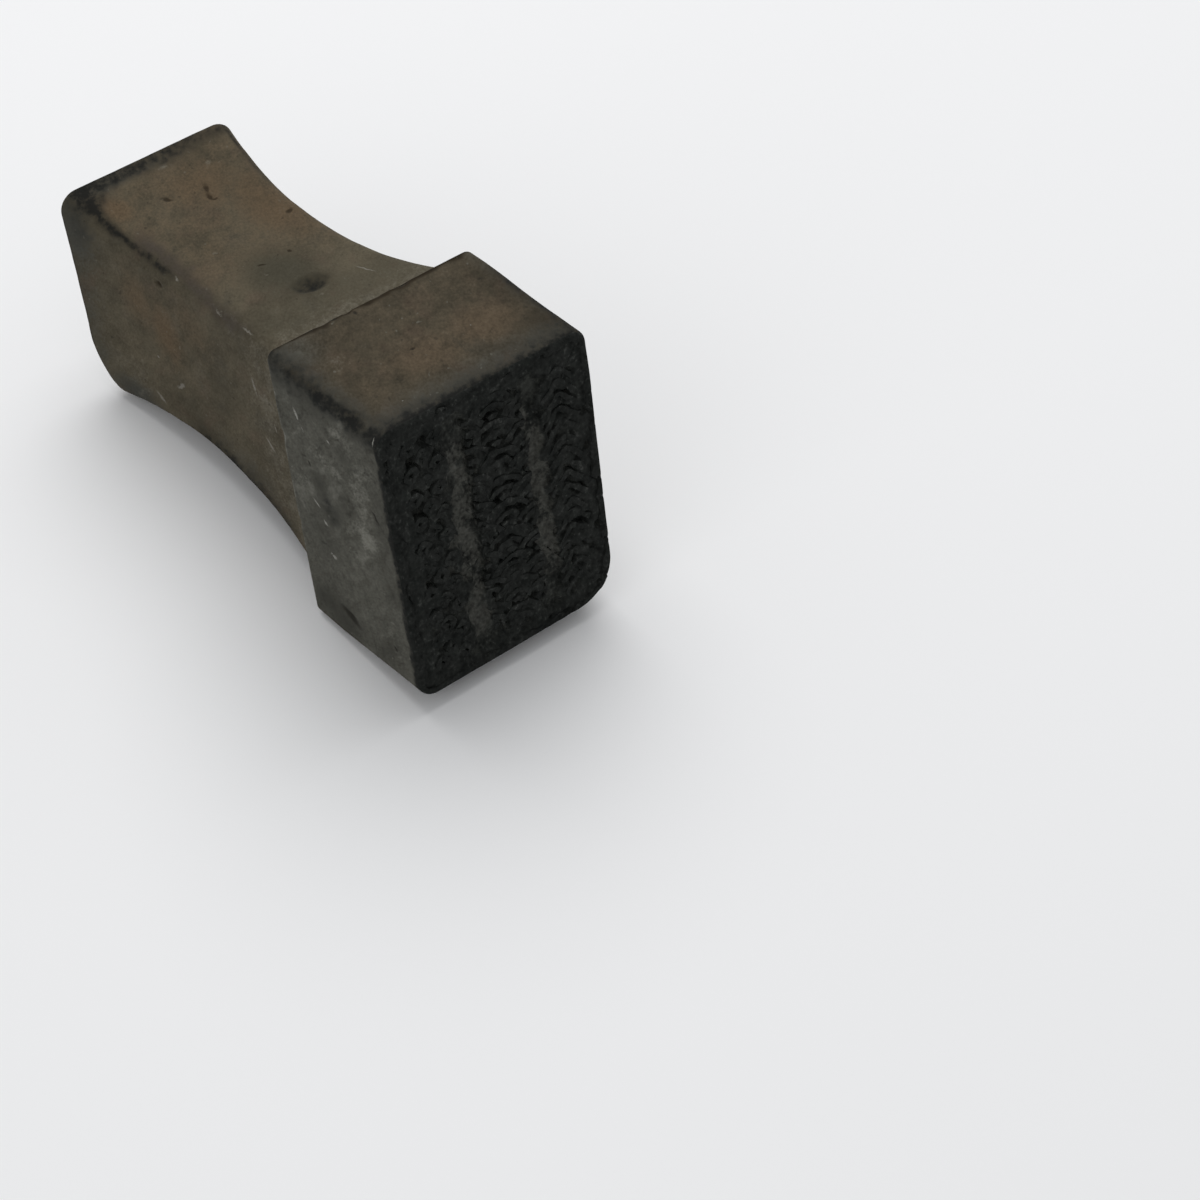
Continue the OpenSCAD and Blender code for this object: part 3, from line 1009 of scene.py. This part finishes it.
def headTones(points):        # for the head and for the plate's sides
    x, y, z = points.T
    across = (halfWidth - np.abs(x)) - (halfHeight - np.abs(z))
    onTop = smooth(across / 5 + 0.5) * (z > 0)
    onUnder = smooth(across / 5 + 0.5) * (z < 0)
    onLeft = smooth(0.5 - across / 5) * (x < 0)
    onRight = smooth(0.5 - across / 5) * (x > 0)
    fromRear = shoulderY - y
    upperLeft = (x < 0) * (z > 0)
    stray = waver(points, 2.6, 6.5) + 0.6 * waver(points, 1.0, 5.2)
    arris = across + 0.8 * stray
    spots = spotTones(points, headSpots)
    blots = {name: sideBlots(points, -halfWidth, rows) for name, rows in headBlots.items()}
    ink = np.maximum.reduce(blots["ink"] + spots["ink"] + [
        (0.84 + 0.16 * smooth(1.6 - y)) * onTop *
        np.exp(-y / (2.8 + 0.7 * smooth(0.5 - x / 24) + 1.8 * fadeIn(x, 2, 12) + 0.9 * stray)),
        1.0 * onUnder * np.exp(-y / 2.8),
        0.8 * onRight * np.exp(-y / 2.0),
        0.9 * onLeft * smooth(1.6 - y / (1.0 + 0.5 * stray)),
        (0.84 + 0.16 * fadeOut(y, 9.5, 3)) * upperLeft * band(arris, -0.6, 2.3) *
        fadeIn(y, 2.8, 2.0) * (1 - 0.35 * band(y, 17.2, 1.8)) * fadeOut(y, 24, 4),
        (0.56 + 0.2 * fadeOut(y, 5, 2)) * upperLeft * band(arris, 0.0, 3.1),
        0.75 * (x > 0) * (z > 0) * band(across, 0.3, 1.5) * fadeOut(y, 26, 12),
    ])
    shade = np.maximum.reduce(blots["shade"] + spots["shade"] + [
        0.25 * onTop * smooth(1.2 - y / 5),
        0.48 * onLeft * fadeIn(z, 15, 5) * fadeIn(y, 9, 5),
    ])
    grey = np.maximum.reduce(spots["grey"] + [
        0.95 * onLeft,
        0.8 * onRight,
        0.6 * onUnder,
        0.5 * onTop * fadeIn(x, 12.5, 4),
        0.65 * onTop * smooth(1.25 - y / 6.5),
        0.6 * upperLeft * band(across, 1.0, 2.4),
    ])
    warm = np.maximum.reduce(spots["warm"] + [
        0.3 * onTop,
        0.3 * onLeft * fadeOut(z, -2, 8),
    ])
    umber = smooth(1.3 - fromRear / (1.1 + 0.8 * stray)) * (0.3 + 0.7 * onTop)        # darker along the rear edge, at the joint with the grip
    rubAndPaintedLight = np.maximum.reduce(blots["rubAndPaintedLight"] + spots["rubAndPaintedLight"] + [
        # painted highlight: pale streaks along the left side's rear edge
        0.8 * onLeft * fadeIn(y, 24.6, 0.6) * (0.8 + 0.8 * stray),
    ])
    smear = onLeft * (0.4 + 0.6 * fadeIn(z, -12, 12)) + 0.6 * onRight + 0.5 * onUnder
    end = fadeIn(np.abs(x), 16, 0.7)
    return {"ink": ink, "grey": grey, "warm": warm, "umber": umber, "rubAndPaintedLight": rubAndPaintedLight, "shade": shade,
            "smear": smear, "end": end}


def headSkin(tree, where):
    return wornWood(tree, where, headPalette, headMarks)


def wornTree(name, values):        # the head and its plate wear alike, so that their sides stay flush
    tree, given = newTree(name, values)
    endTree(tree, wearTwice(tree, given, given["Geometry"], headMesh, 0.0), given["Finish"])
    return tree


def wearCorners(piece):        # the lower corners are worn rounder towards the face
    points = readPoints(piece)
    edge = stampSizes["edgeRound"]
    for sides, radius, reach in wornCorners:
        out = points[:, ::2] * sides - (halfWidth - radius, halfHeight - radius)
        inCorner = (out > 0).all(axis=1)
        out = np.maximum(out, 1e-6)
        far = np.hypot(*out.T)
        way = out / far[:, None]
        core = radius - edge
        toFlat = radius / way.max(axis=1)
        both = core * way.sum(axis=1)
        toArc = both + np.sqrt(np.maximum(both ** 2 - 2 * core ** 2 + edge ** 2, 0))
        limit = np.where(toFlat * way.min(axis=1) <= core, toFlat, toArc)        # the outline that it had
        share = smooth(far / limit) * inCorner * smooth(1 - points[:, 1] / reach)
        points[:, ::2] += sides * out * ((radius / limit - 1) * share)[:, None]
    movePoints(piece, points)


def crisper(ring, radius, wanted):        # the same ring with another corner radius
    core = np.array([halfWidth, halfHeight]) - radius
    flat = np.clip(ring, -core, core)
    return flat * ((core + radius - wanted) / core) + (ring - flat) * (wanted / radius)


def makeHead():
    step, rearRound, rearEdge = headMesh["step"], headMesh["rearRound"], headMesh["rearEdge"]
    edge = stampSizes["edgeRound"]
    ring, out = roundedRing(halfWidth, halfHeight, edge, step)
    rings = capRings(atY(ring, headFront), headMesh["hiddenStep"])
    for y in denseStations(headFront, shoulderY - rearRound, step):
        rearward = fadeIn(y - headFront, headMesh["crispFrom"], headMesh["crispOver"])
        rings.append(atY(crisper(ring, edge, edge + (rearEdge - edge) * rearward), y))
    ring = crisper(ring, edge, rearEdge)
    for q in quarter(headMesh["rearSteps"]):
        inset = rearRound * (1 - math.cos(q))
        rings.append(atY(ring - out * inset, shoulderY - rearRound * (1 - math.sin(q))))
    for inset in np.linspace(rearRound, rearEdge, 5)[1:-1]:
        rings.append(atY(ring - out * inset, shoulderY))
    rings += capRings(rings[-1], headMesh["hiddenStep"])[::-1]
    head = loftPiece("headBlock", rings)
    values = {**headShape, "Finish": paintFinish(headSkin, **headFinish)}
    useTree(head, wornTree("wornHead", values), values)
    wearCorners(head)
    pressDents(head, headDents)
    addTones(head, headTones(readPoints(head)))
    settle(head, "head_block")


# printing plate: its back, its sides, the worn front edge, the raised border and the cut-away ground
plateShape = {
    "sideSteps": 8,
    "frontSteps": 7,
    "frontRound": 0.6,
    "topRound": 1.0,        # the upper front edge is worn rounder
    "lipInset": 1.55,
    "lipLeast": 1.2,
    "lipWaver": 0.9,
    "lipCorner": 1.8,        # the most that its rounded corners can take
    "groundStep": 0.45,
    "gougePitch": 1.3,
    "gougeDepth": 0.16,
    "clogLevel": 0.42,        # the higher, the more hollows are filled with dried ink
    "clogHeight": 0.94,
    "leastDepth": 0.12,
    "crumbs": 0.28,
    "nicks": 70,
    "nickInset": 1.1,
    "nickSeed": 17,
    "wall": (        # inset and depth down the border's inner side
        (0.07, 0.06), (0.13, 0.2), (0.2, 0.55), (0.27, 0.92), (0.38, 1.12), (0.6, floorY),
    ),
}
plateDents = [        # breaks and bruises in the border
    ((15.9, 0, 8), (1.0, 0.8, 1.3), 0.4),
    ((-16.0, 0, -3), (0.9, 0.7, 1.6), 0.35),
    ((-6, 0, 22.0), (1.8, 0.9, 0.9), 0.4),
    ((9, 0, -22.0), (1.4, 0.8, 0.9), 0.4),
    ((-16.9, 0.2, 21.2), (1.0, 0.9, 1.2), 0.4),
]
inkPalette = {
    "black": (0.0129, 0.0142, 0.0129),
    "dry": (0.0214, 0.0228, 0.0209),
    # the hollows: lighter for their thinner ink, and painted light that offsets their shade
    "hollow": (0.0355, 0.0370, 0.0330),
    "ground": (0.0585, 0.0585, 0.0515),
    "dust": (0.085, 0.086, 0.080),
}
inkNoise = {        # periods in mm, detail, seed
    "blotches": ((2.6, 2.6, 3.4), 4.0, 42.0),
    "specks": ((0.45, 0.45, 0.55), 3.0, 43.0),
    "crust": ((1.0, 1.0, 1.2), 2.0, 45.0),
}
inkFinish = {"name": "inkedWood", "roughness": 0.8, "specular": 0.06, "bump": 0.2}
plateFinish = {"name": "plateWood", "roughness": 0.85, "specular": 0.05, "bump": 0.16}


def bareChannel(x, z, middle, top, bottom):        # 1 along a channel, fading at its sides and ends
    half = carvingShape["Channel"] / 2
    across = ramp((x - middle).math("ABSOLUTE"), half + 1.4, half - 0.2)
    return across * ramp(z, top + 1.5, top - 1.5) * ramp(z, bottom - 1.5, bottom + 1.5)


def inkSkin(tree, where):        # black on every top, thinner ink and painted light in the hollows, bare in the channels
    x, _, z = splitXyz(tree, ragged(ragged(where, 11.0, 3.2, 41.0), 4.0, 1.5, 44.0))
    _, depth, _ = splitXyz(tree, where)
    blotches, specks, crust = [grain(where, *row) for row in inkNoise.values()]
    colour = tint(ramp(blotches, 0.35, 0.65), inkPalette["black"], inkPalette["dry"])
    # lighter in the hollows: thinner ink, and painted light against their shade
    hollow = ramp(depth, 0.35, 0.95) * ramp(blotches + specks * 0.5, 0.55, 0.95)
    colour = tint(hollow, colour, inkPalette["hollow"])
    bare = most([bareChannel(x, z, *channel) for channel in channels])
    bare = bare * ramp(depth, 0.35, 0.8) * ramp(blotches + specks * 0.35, 0.5, 0.7)
    colour = tint(bare, colour, inkPalette["ground"])
    colour = scaled(colour, (specks - 0.5) * 1.8 + (crust - 0.5) * 1.6 + 1.0)
    colour = tint(ramp(specks + (crust - 0.5) * 0.5, 0.58, 0.76) * 0.4, colour, inkPalette["dust"])
    return colour, blotches * 0.3 + specks * 0.7 + crust * 0.5


def plateSkin(tree, where):        # the head's worn wood on the sides, ink on the face
    sideColour, sideHeight = headSkin(tree, where)
    faceColour, faceHeight = inkSkin(tree, where)
    blotches = grain(where, (1.4, 1.4, 1.4), 3.0, 51.0)
    face = ramp(tone(tree, "face") + (blotches - 0.5) * 1.1, 0.25, 0.75)
    faceColour = scaled(faceColour, 1.0 - tone(tree, "border") * 0.15)
    return tint(face, sideColour, faceColour), sideHeight + (faceHeight - sideHeight) * face


def fromSides(points):        # how far inside the rounded outline of the face
    edge = stampSizes["edgeRound"]
    out = np.abs(points[:, ::2]) - (halfWidth - edge, halfHeight - edge)
    return edge - np.hypot(*np.maximum(out, 0).T) - np.minimum(out.max(axis=1), 0)


def gougeGround(piece):        # shallow tool marks across the cut-away ground
    points = readPoints(piece)
    x, y, z = points.T
    inset = fromSides(points)
    inside = (inset > plateShape["lipLeast"]) * (y < floorY + 0.5)
    drift = waver(points, 4.0, 2.5)
    ridge = np.abs(np.sin((0.5 * x + z + 2.2 * drift) * math.pi / plateShape["gougePitch"]))
    stray = 2.2 * waver(points, 3.0, 3.5)
    fromChannels = np.min([np.abs(x - at) for at, _, _ in channels], axis=0) - carvingShape["Channel"] / 2
    inBand = smooth((fromChannels + 0.4 + stray) / 0.9)
    upLeft = smooth((z / halfHeight - x / halfWidth) / 1.6 + 0.5)
    byBorder = (0.2 + 0.5 * upLeft) * fadeOut(inset, 4.2, 1.6)
    clogged = smooth((waver(points, 2.0, 7.5) + plateShape["clogLevel"] + byBorder) / 0.45)
    clogged = np.maximum(inBand, fadeOut(inset, 3.4, 1.0)) * clogged
    crumbs = plateShape["crumbs"] * waver(points, 1.0, 9.5) + 0.2 * byBorder
    ground = floorY + plateShape["gougeDepth"] * (ridge - 0.6 + 0.8 * drift)
    ground -= clogged * (plateShape["clogHeight"] + crumbs)
    ground = np.maximum(ground, plateShape["leastDepth"])
    onFloor = y > floorY - 0.01
    points[:, 1] = np.where(inside, np.where(onFloor, ground, np.minimum(y, ground)), y)
    movePoints(piece, points)


def borderNicks():        # small breaks all along the raised border
    chance = np.random.default_rng(plateShape["nickSeed"])
    inset = plateShape["nickInset"]
    rounder = max(radius for _, radius, _ in wornCorners)        # clear of the worn corners
    ring, _ = roundedRing(halfWidth - inset, halfHeight - inset, rounder - inset, 0.7)
    nicks = []
    for x, z in chance.permutation(ring)[:plateShape["nicks"]]:
        shift = chance.uniform(-0.5, 0.5, 2)
        broad, tall, deep = chance.uniform((0.35, 0.35, 0.15), (0.9, 0.9, 0.5))
        nicks.append(((x + shift[0], 0, z + shift[1]), (broad, 0.8, tall), deep))
    return nicks


def makePlate():
    shape = plateShape
    ring, out = roundedRing(halfWidth, halfHeight, stampSizes["edgeRound"], headMesh["step"])
    edge = shape["frontRound"] + (shape["topRound"] - shape["frontRound"]) * fadeIn(ring[:, 1], 15, 8)
    lip = np.maximum(shape["lipInset"] + shape["lipWaver"] * waver(ring, 1.7, 1.5), shape["lipLeast"])
    inCorner = (np.abs(out) > 0.01).all(axis=1)
    lip = np.where(inCorner, np.minimum(lip, shape["lipCorner"]), lip)
    zero = np.zeros(len(ring))
    profile = [(zero, headFront + (edge - headFront) * t) for t in np.linspace(0, 1, shape["sideSteps"])]
    profile += [(edge * (1 - math.cos(q)), edge * (1 - math.sin(q))) for q in quarter(shape["frontSteps"])]
    profile += [(edge + (lip - edge) * t, zero) for t in (0.35, 0.7, 1.0)]
    profile += [(lip + inset, zero + y) for inset, y in shape["wall"]]
    rings = capRings(atY(ring, headFront), headMesh["hiddenStep"])
    rings += [atY(ring - out * inset[:, None], y) for inset, y in profile]
    rings += capRings(rings[-1], shape["groundStep"])[::-1]
    plate = loftPiece("printingPlate", rings)
    values = {**headShape, "Finish": paintFinish(plateSkin, **plateFinish)}
    useTree(plate, wornTree("wornPlate", values), values)
    wearCorners(plate)
    pressDents(plate, plateDents + borderNicks())
    gougeGround(plate)
    points = readPoints(plate)
    y = points[:, 1]
    inset = fromSides(points)
    tones = headTones(points)
    tones["face"] = smooth((inset + 0.5 * (1 - y) - 0.35) / 0.4) * (y < headFront - 0.5)
    tones["border"] = fadeOut(inset, 2.4, 0.5)
    addTones(plate, tones)
    settle(plate, "die_plate")


# carved bands: diamonds, waves and chevrons, each stroke swept along its own line
borderGap = 0.8        # bare ground between the border and the bands
carvingShape = {
    "Stroke": 1.0,
    "Gap": 0.5,
    "Relief": stampSizes["relief"],
    "Sink": 0.3,
    "Draft": 0.3,
    "Softness": 0.13,
    "Inner Width": stampSizes["width"] - 2 * (stampSizes["border"] + borderGap),
    "Inner Height": stampSizes["height"] - 2 * (stampSizes["border"] + borderGap),
    "Diamond Band": 7.8,
    "Wave Band": 9.2,
    "Channel": 2.8,
    "Diamond Rows": 10,
    "Wave Rows": 9,
    "Chevron Rows": 17,
    "Chevron Pitch": 2.2,
    "Diamond Soft": 0.08,
    "Chevron Soft": 0.5,
    "Wave From": math.radians(36),
    "Wobble": 0.8,
    "Turn": 0.11,
    "Least Size": 0.94,
    "Greatest Size": 1.1,
    "Uneven": 1.1,
    "Point Step": 0.3,
    "Worn Low": 2.0,
    "Wear": 0.12,
    "Rough": 0.13,
    "Least Depth": 0.03,
    "Seed": 11,
}
carvingNoise = {"shake": 0.55, "swell": 0.8, "low": 0.7, "wearPeriod": 1.1, "roughPeriod": 0.5}
bandPitch = carvingShape["Wave Band"] + carvingShape["Channel"]
leftChannel = carvingShape["Diamond Band"] + (carvingShape["Channel"] - carvingShape["Inner Width"]) / 2
channels = [(leftChannel, 14.0, -17.0), (leftChannel + bandPitch, 15.0, -13.5)]        # middle, top, bottom


def column(tree, count, x, start, pitch):        # points up the face
    first = joinXyz(tree, X=x, Y=start)
    step = joinXyz(tree, Y=pitch)
    return addWire(tree, "GeometryNodeMeshLine", Count=count, Start_Location=first, Offset=step)


def randomWire(tree, seed, least, greatest):        # a number for each point
    node = addNode(tree, "FunctionNodeRandomValue", {"data_type": "FLOAT"}, Seed=seed)
    plug(tree, node.inputs[2], least)
    plug(tree, node.inputs[3], greatest)
    return Wire(tree, node.outputs[1])


def repeat(plan, given, motif, points, offset):        # one motif at each point, a little turned and sized
    tree = motif.tree
    turn = randomWire(tree, given["Seed"] + offset, given["Turn"] * -1.0, given["Turn"])
    size = randomWire(tree, given["Seed"] + offset + 50, given["Least Size"], given["Greatest Size"])
    put = addWire(tree, "GeometryNodeInstanceOnPoints", Points=points, Instance=motif,
                  Rotation=joinXyz(tree, Z=turn), Scale=size)
    tree.links.new(put.socket, plan.inputs[0])


def softCorners(line, radius):
    return addWire(line.tree, "GeometryNodeFilletCurve", {"mode": "POLY"}, Curve=line, Count=2, Radius=radius)


def addPoints(line, cuts):        # gives a line points to waver at
    return addWire(line.tree, "GeometryNodeSubdivideCurve", Curve=line, Cuts=cuts)


def arc(tree, radius, start, sweep, points):
    return addWire(tree, "GeometryNodeCurveArc", {"mode": "RADIUS"}, Resolution=points, Radius=radius,
                   Start_Angle=start, Sweep_Angle=sweep)


def diamondMiddle(given):
    return (given["Diamond Band"] - given["Inner Width"]) / 2.0


def addDiamonds(tree, given, plan):        # two in a row, and one in each hollow between the rows
    height, rows, middle = given["Inner Height"], given["Diamond Rows"], diamondMiddle(given)
    cellW, cellH = given["Diamond Band"] / 2.0, height / rows
    slant = (cellW * cellW + cellH * cellH) ** 0.5 * (given["Gap"] + given["Stroke"])
    halfH = (cellH - slant / cellW) / 2.0
    diamond = addWire(tree, "GeometryNodeCurvePrimitiveQuadrilateral", {"mode": "KITE"},
                      Width=cellW - slant / cellH, Bottom_Height=halfH, Top_Height=halfH)
    diamond = addPoints(softCorners(diamond, given["Diamond Soft"]), 2)
    low = (cellH - height) / 2.0
    for k, shift in enumerate((-0.5, 0.5)):
        repeat(plan, given, diamond, column(tree, rows, middle + cellW * shift, low, cellH), k)
    repeat(plan, given, diamond, column(tree, rows - 1.0, middle, low + cellH * 0.5, cellH), 2)


def addWaves(tree, given, plan):        # whole ones up the middle, half ones between them at both edges
    stroke, gap, height, rows = given["Stroke"], given["Gap"], given["Inner Height"], given["Wave Rows"]
    reach, rowH = given["Wave Band"] / 2.0, height / rows
    middle = diamondMiddle(given) + given["Diamond Band"] / 2.0 + given["Channel"] + reach
    high = height / 2.0 - reach + gap / 2.0
    start = given["Wave From"]
    span = math.pi - start * 2.0
    for k in range(3):
        radius = reach - gap / 2.0 - stroke / 2.0 - (stroke + gap) * k
        whole = arc(tree, radius, start, span, 14 - 3 * k)
        repeat(plan, given, whole, column(tree, rows, middle, high, rowH * -1.0), 10 + k)
        for side, halfStart in ((-1.0, start), (1.0, math.pi / 2)):
            half = arc(tree, radius, halfStart, span / 2.0, 8 - k)
            points = column(tree, rows - 1.0, middle + reach * side, high - rowH * 0.5, rowH * -1.0)
            repeat(plan, given, half, points, 15 + k + 5 * int(side))


def addChevrons(tree, given, plan):        # an arc of three points is a chevron
    width, rows, pitch = given["Inner Width"], given["Chevron Rows"], given["Chevron Pitch"]
    broad = width - given["Diamond Band"] - given["Wave Band"] - given["Channel"] * 2.0
    leg = (broad - given["Stroke"] * 0.7) / 2.0
    chevron = softCorners(arc(tree, leg, 0.0, math.pi, 3), given["Chevron Soft"])
    chevron = addPoints(chevron, 4)
    bottom = (rows - 1.0) * pitch * -0.5 - leg / 2.0
    repeat(plan, given, chevron, column(tree, rows, (width - broad) / 2.0, bottom, pitch), 30)


def sweepStrokes(tree, given, plan):        # each line wavers, swells and thins, and has a drafted section
    seed, stroke = given["Seed"], given["Stroke"]
    lines = addWire(tree, "GeometryNodeRealizeInstances", Geometry=Wire(tree, plan.outputs[0]))
    lines = addWire(tree, "GeometryNodeResampleCurve", {"mode": "LENGTH"}, Curve=lines,
                    Length=given["Point Step"])
    shake = noiseWire(tree, seed, "Color", Scale=carvingNoise["shake"], Detail=1.0)
    shakeX, shakeY, _ = splitXyz(tree, vectorMath(tree, "SUBTRACT", shake, (0.5, 0.5, 0.5)))
    shift = joinXyz(tree, X=shakeX * given["Wobble"], Y=shakeY * given["Wobble"])
    lines = setPosition(tree, lines, Offset=shift)
    lines = addWire(tree, "GeometryNodeSetCurveNormal", {"mode": "Z_UP"}, Curve=lines)
    swell = noiseWire(tree, seed + 3.0, Scale=carvingNoise["swell"])
    section = addWire(tree, "GeometryNodeCurvePrimitiveQuadrilateral", {"mode": "TRAPEZOID"}, Offset=0.0,
                      Height=given["Relief"] + given["Sink"], Bottom_Width=stroke,
                      Top_Width=stroke + given["Draft"])
    section = softCorners(section, given["Softness"])
    return addWire(tree, "GeometryNodeCurveToMesh", Curve=lines, Profile_Curve=section, Fill_Caps=True,
                   Scale=(swell - 0.5) * given["Uneven"] + 1.0)


def layOnFace(tree, given, strokes):        # from the plan to the stamp's axes, worn from the top
    x, y, z = splitXyz(tree, addWire(tree, "GeometryNodeInputPosition"))
    low = noiseWire(tree, given["Seed"] + 5.0, Scale=carvingNoise["low"], Detail=2.0)
    rise = (z + (given["Relief"] - given["Sink"]) / 2.0).math("MINIMUM", given["Relief"])
    rise = rise - aboveZero(low - 0.52) * given["Worn Low"] * ramp(rise, 0.0, 1.0)
    strokes = setPosition(tree, strokes, Position=joinXyz(tree, X=x, Y=given["Relief"] - rise, Z=y))
    strokes = handWorn(tree, strokes, given["Wear"], carvingNoise["wearPeriod"], given["Seed"] + 9.0)
    strokes = handWorn(tree, strokes, given["Rough"], carvingNoise["roughPeriod"], given["Seed"] + 13.0)
    flush = joinXyz(tree, X=x, Y=y.math("MAXIMUM", given["Least Depth"]), Z=z)
    return setPosition(tree, strokes, Position=flush)


def carvingTree(values):
    tree, given = newTree("carvedBands", values)
    plan = tree.nodes.new("GeometryNodeJoinGeometry")
    for addBand in (addDiamonds, addWaves, addChevrons):
        addBand(tree, given, plan)
    strokes = layOnFace(tree, given, sweepStrokes(tree, given, plan))
    endTree(tree, strokes, given["Finish"])
    return tree


def makeCarving():
    carving = addPiece("carvedBands", [], [])
    values = {**carvingShape, "Finish": paintFinish(inkSkin, **inkFinish)}
    useTree(carving, carvingTree(values), values)
    settle(carving, "die_plate", 50)


# dowels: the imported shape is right, so only the wood is new
dowelPalette = {"pale": (0.42, 0.29, 0.15), "dark": (0.27, 0.17, 0.08)}
dowelFinish = {"name": "dowelWood", "roughness": 0.6, "specular": 0.3, "bump": 0.06}


def dowelSkin(tree, where):
    fibre = grain(where, (0.5, 12.0, 0.5), 4.0, 61.0)
    rings = grain(where, (1.6, 30.0, 1.6), 2.0, 62.0)
    dark = ramp(fibre * 0.5 + rings * 0.5, 0.38, 0.62)
    return tint(dark, dowelPalette["pale"], dowelPalette["dark"]), fibre


def finishDowels():
    dowels = frame["nodes"]["joint_dowels"]
    dowels.data.materials.clear()
    dowels.data.materials.append(paintFinish(dowelSkin, **dowelFinish))
    print("finished the dowels")


placeCamera()
lightStudio()
print("camera, floor and lights set")
makeGrip()
makeHead()
makePlate()
makeCarving()
finishDowels()
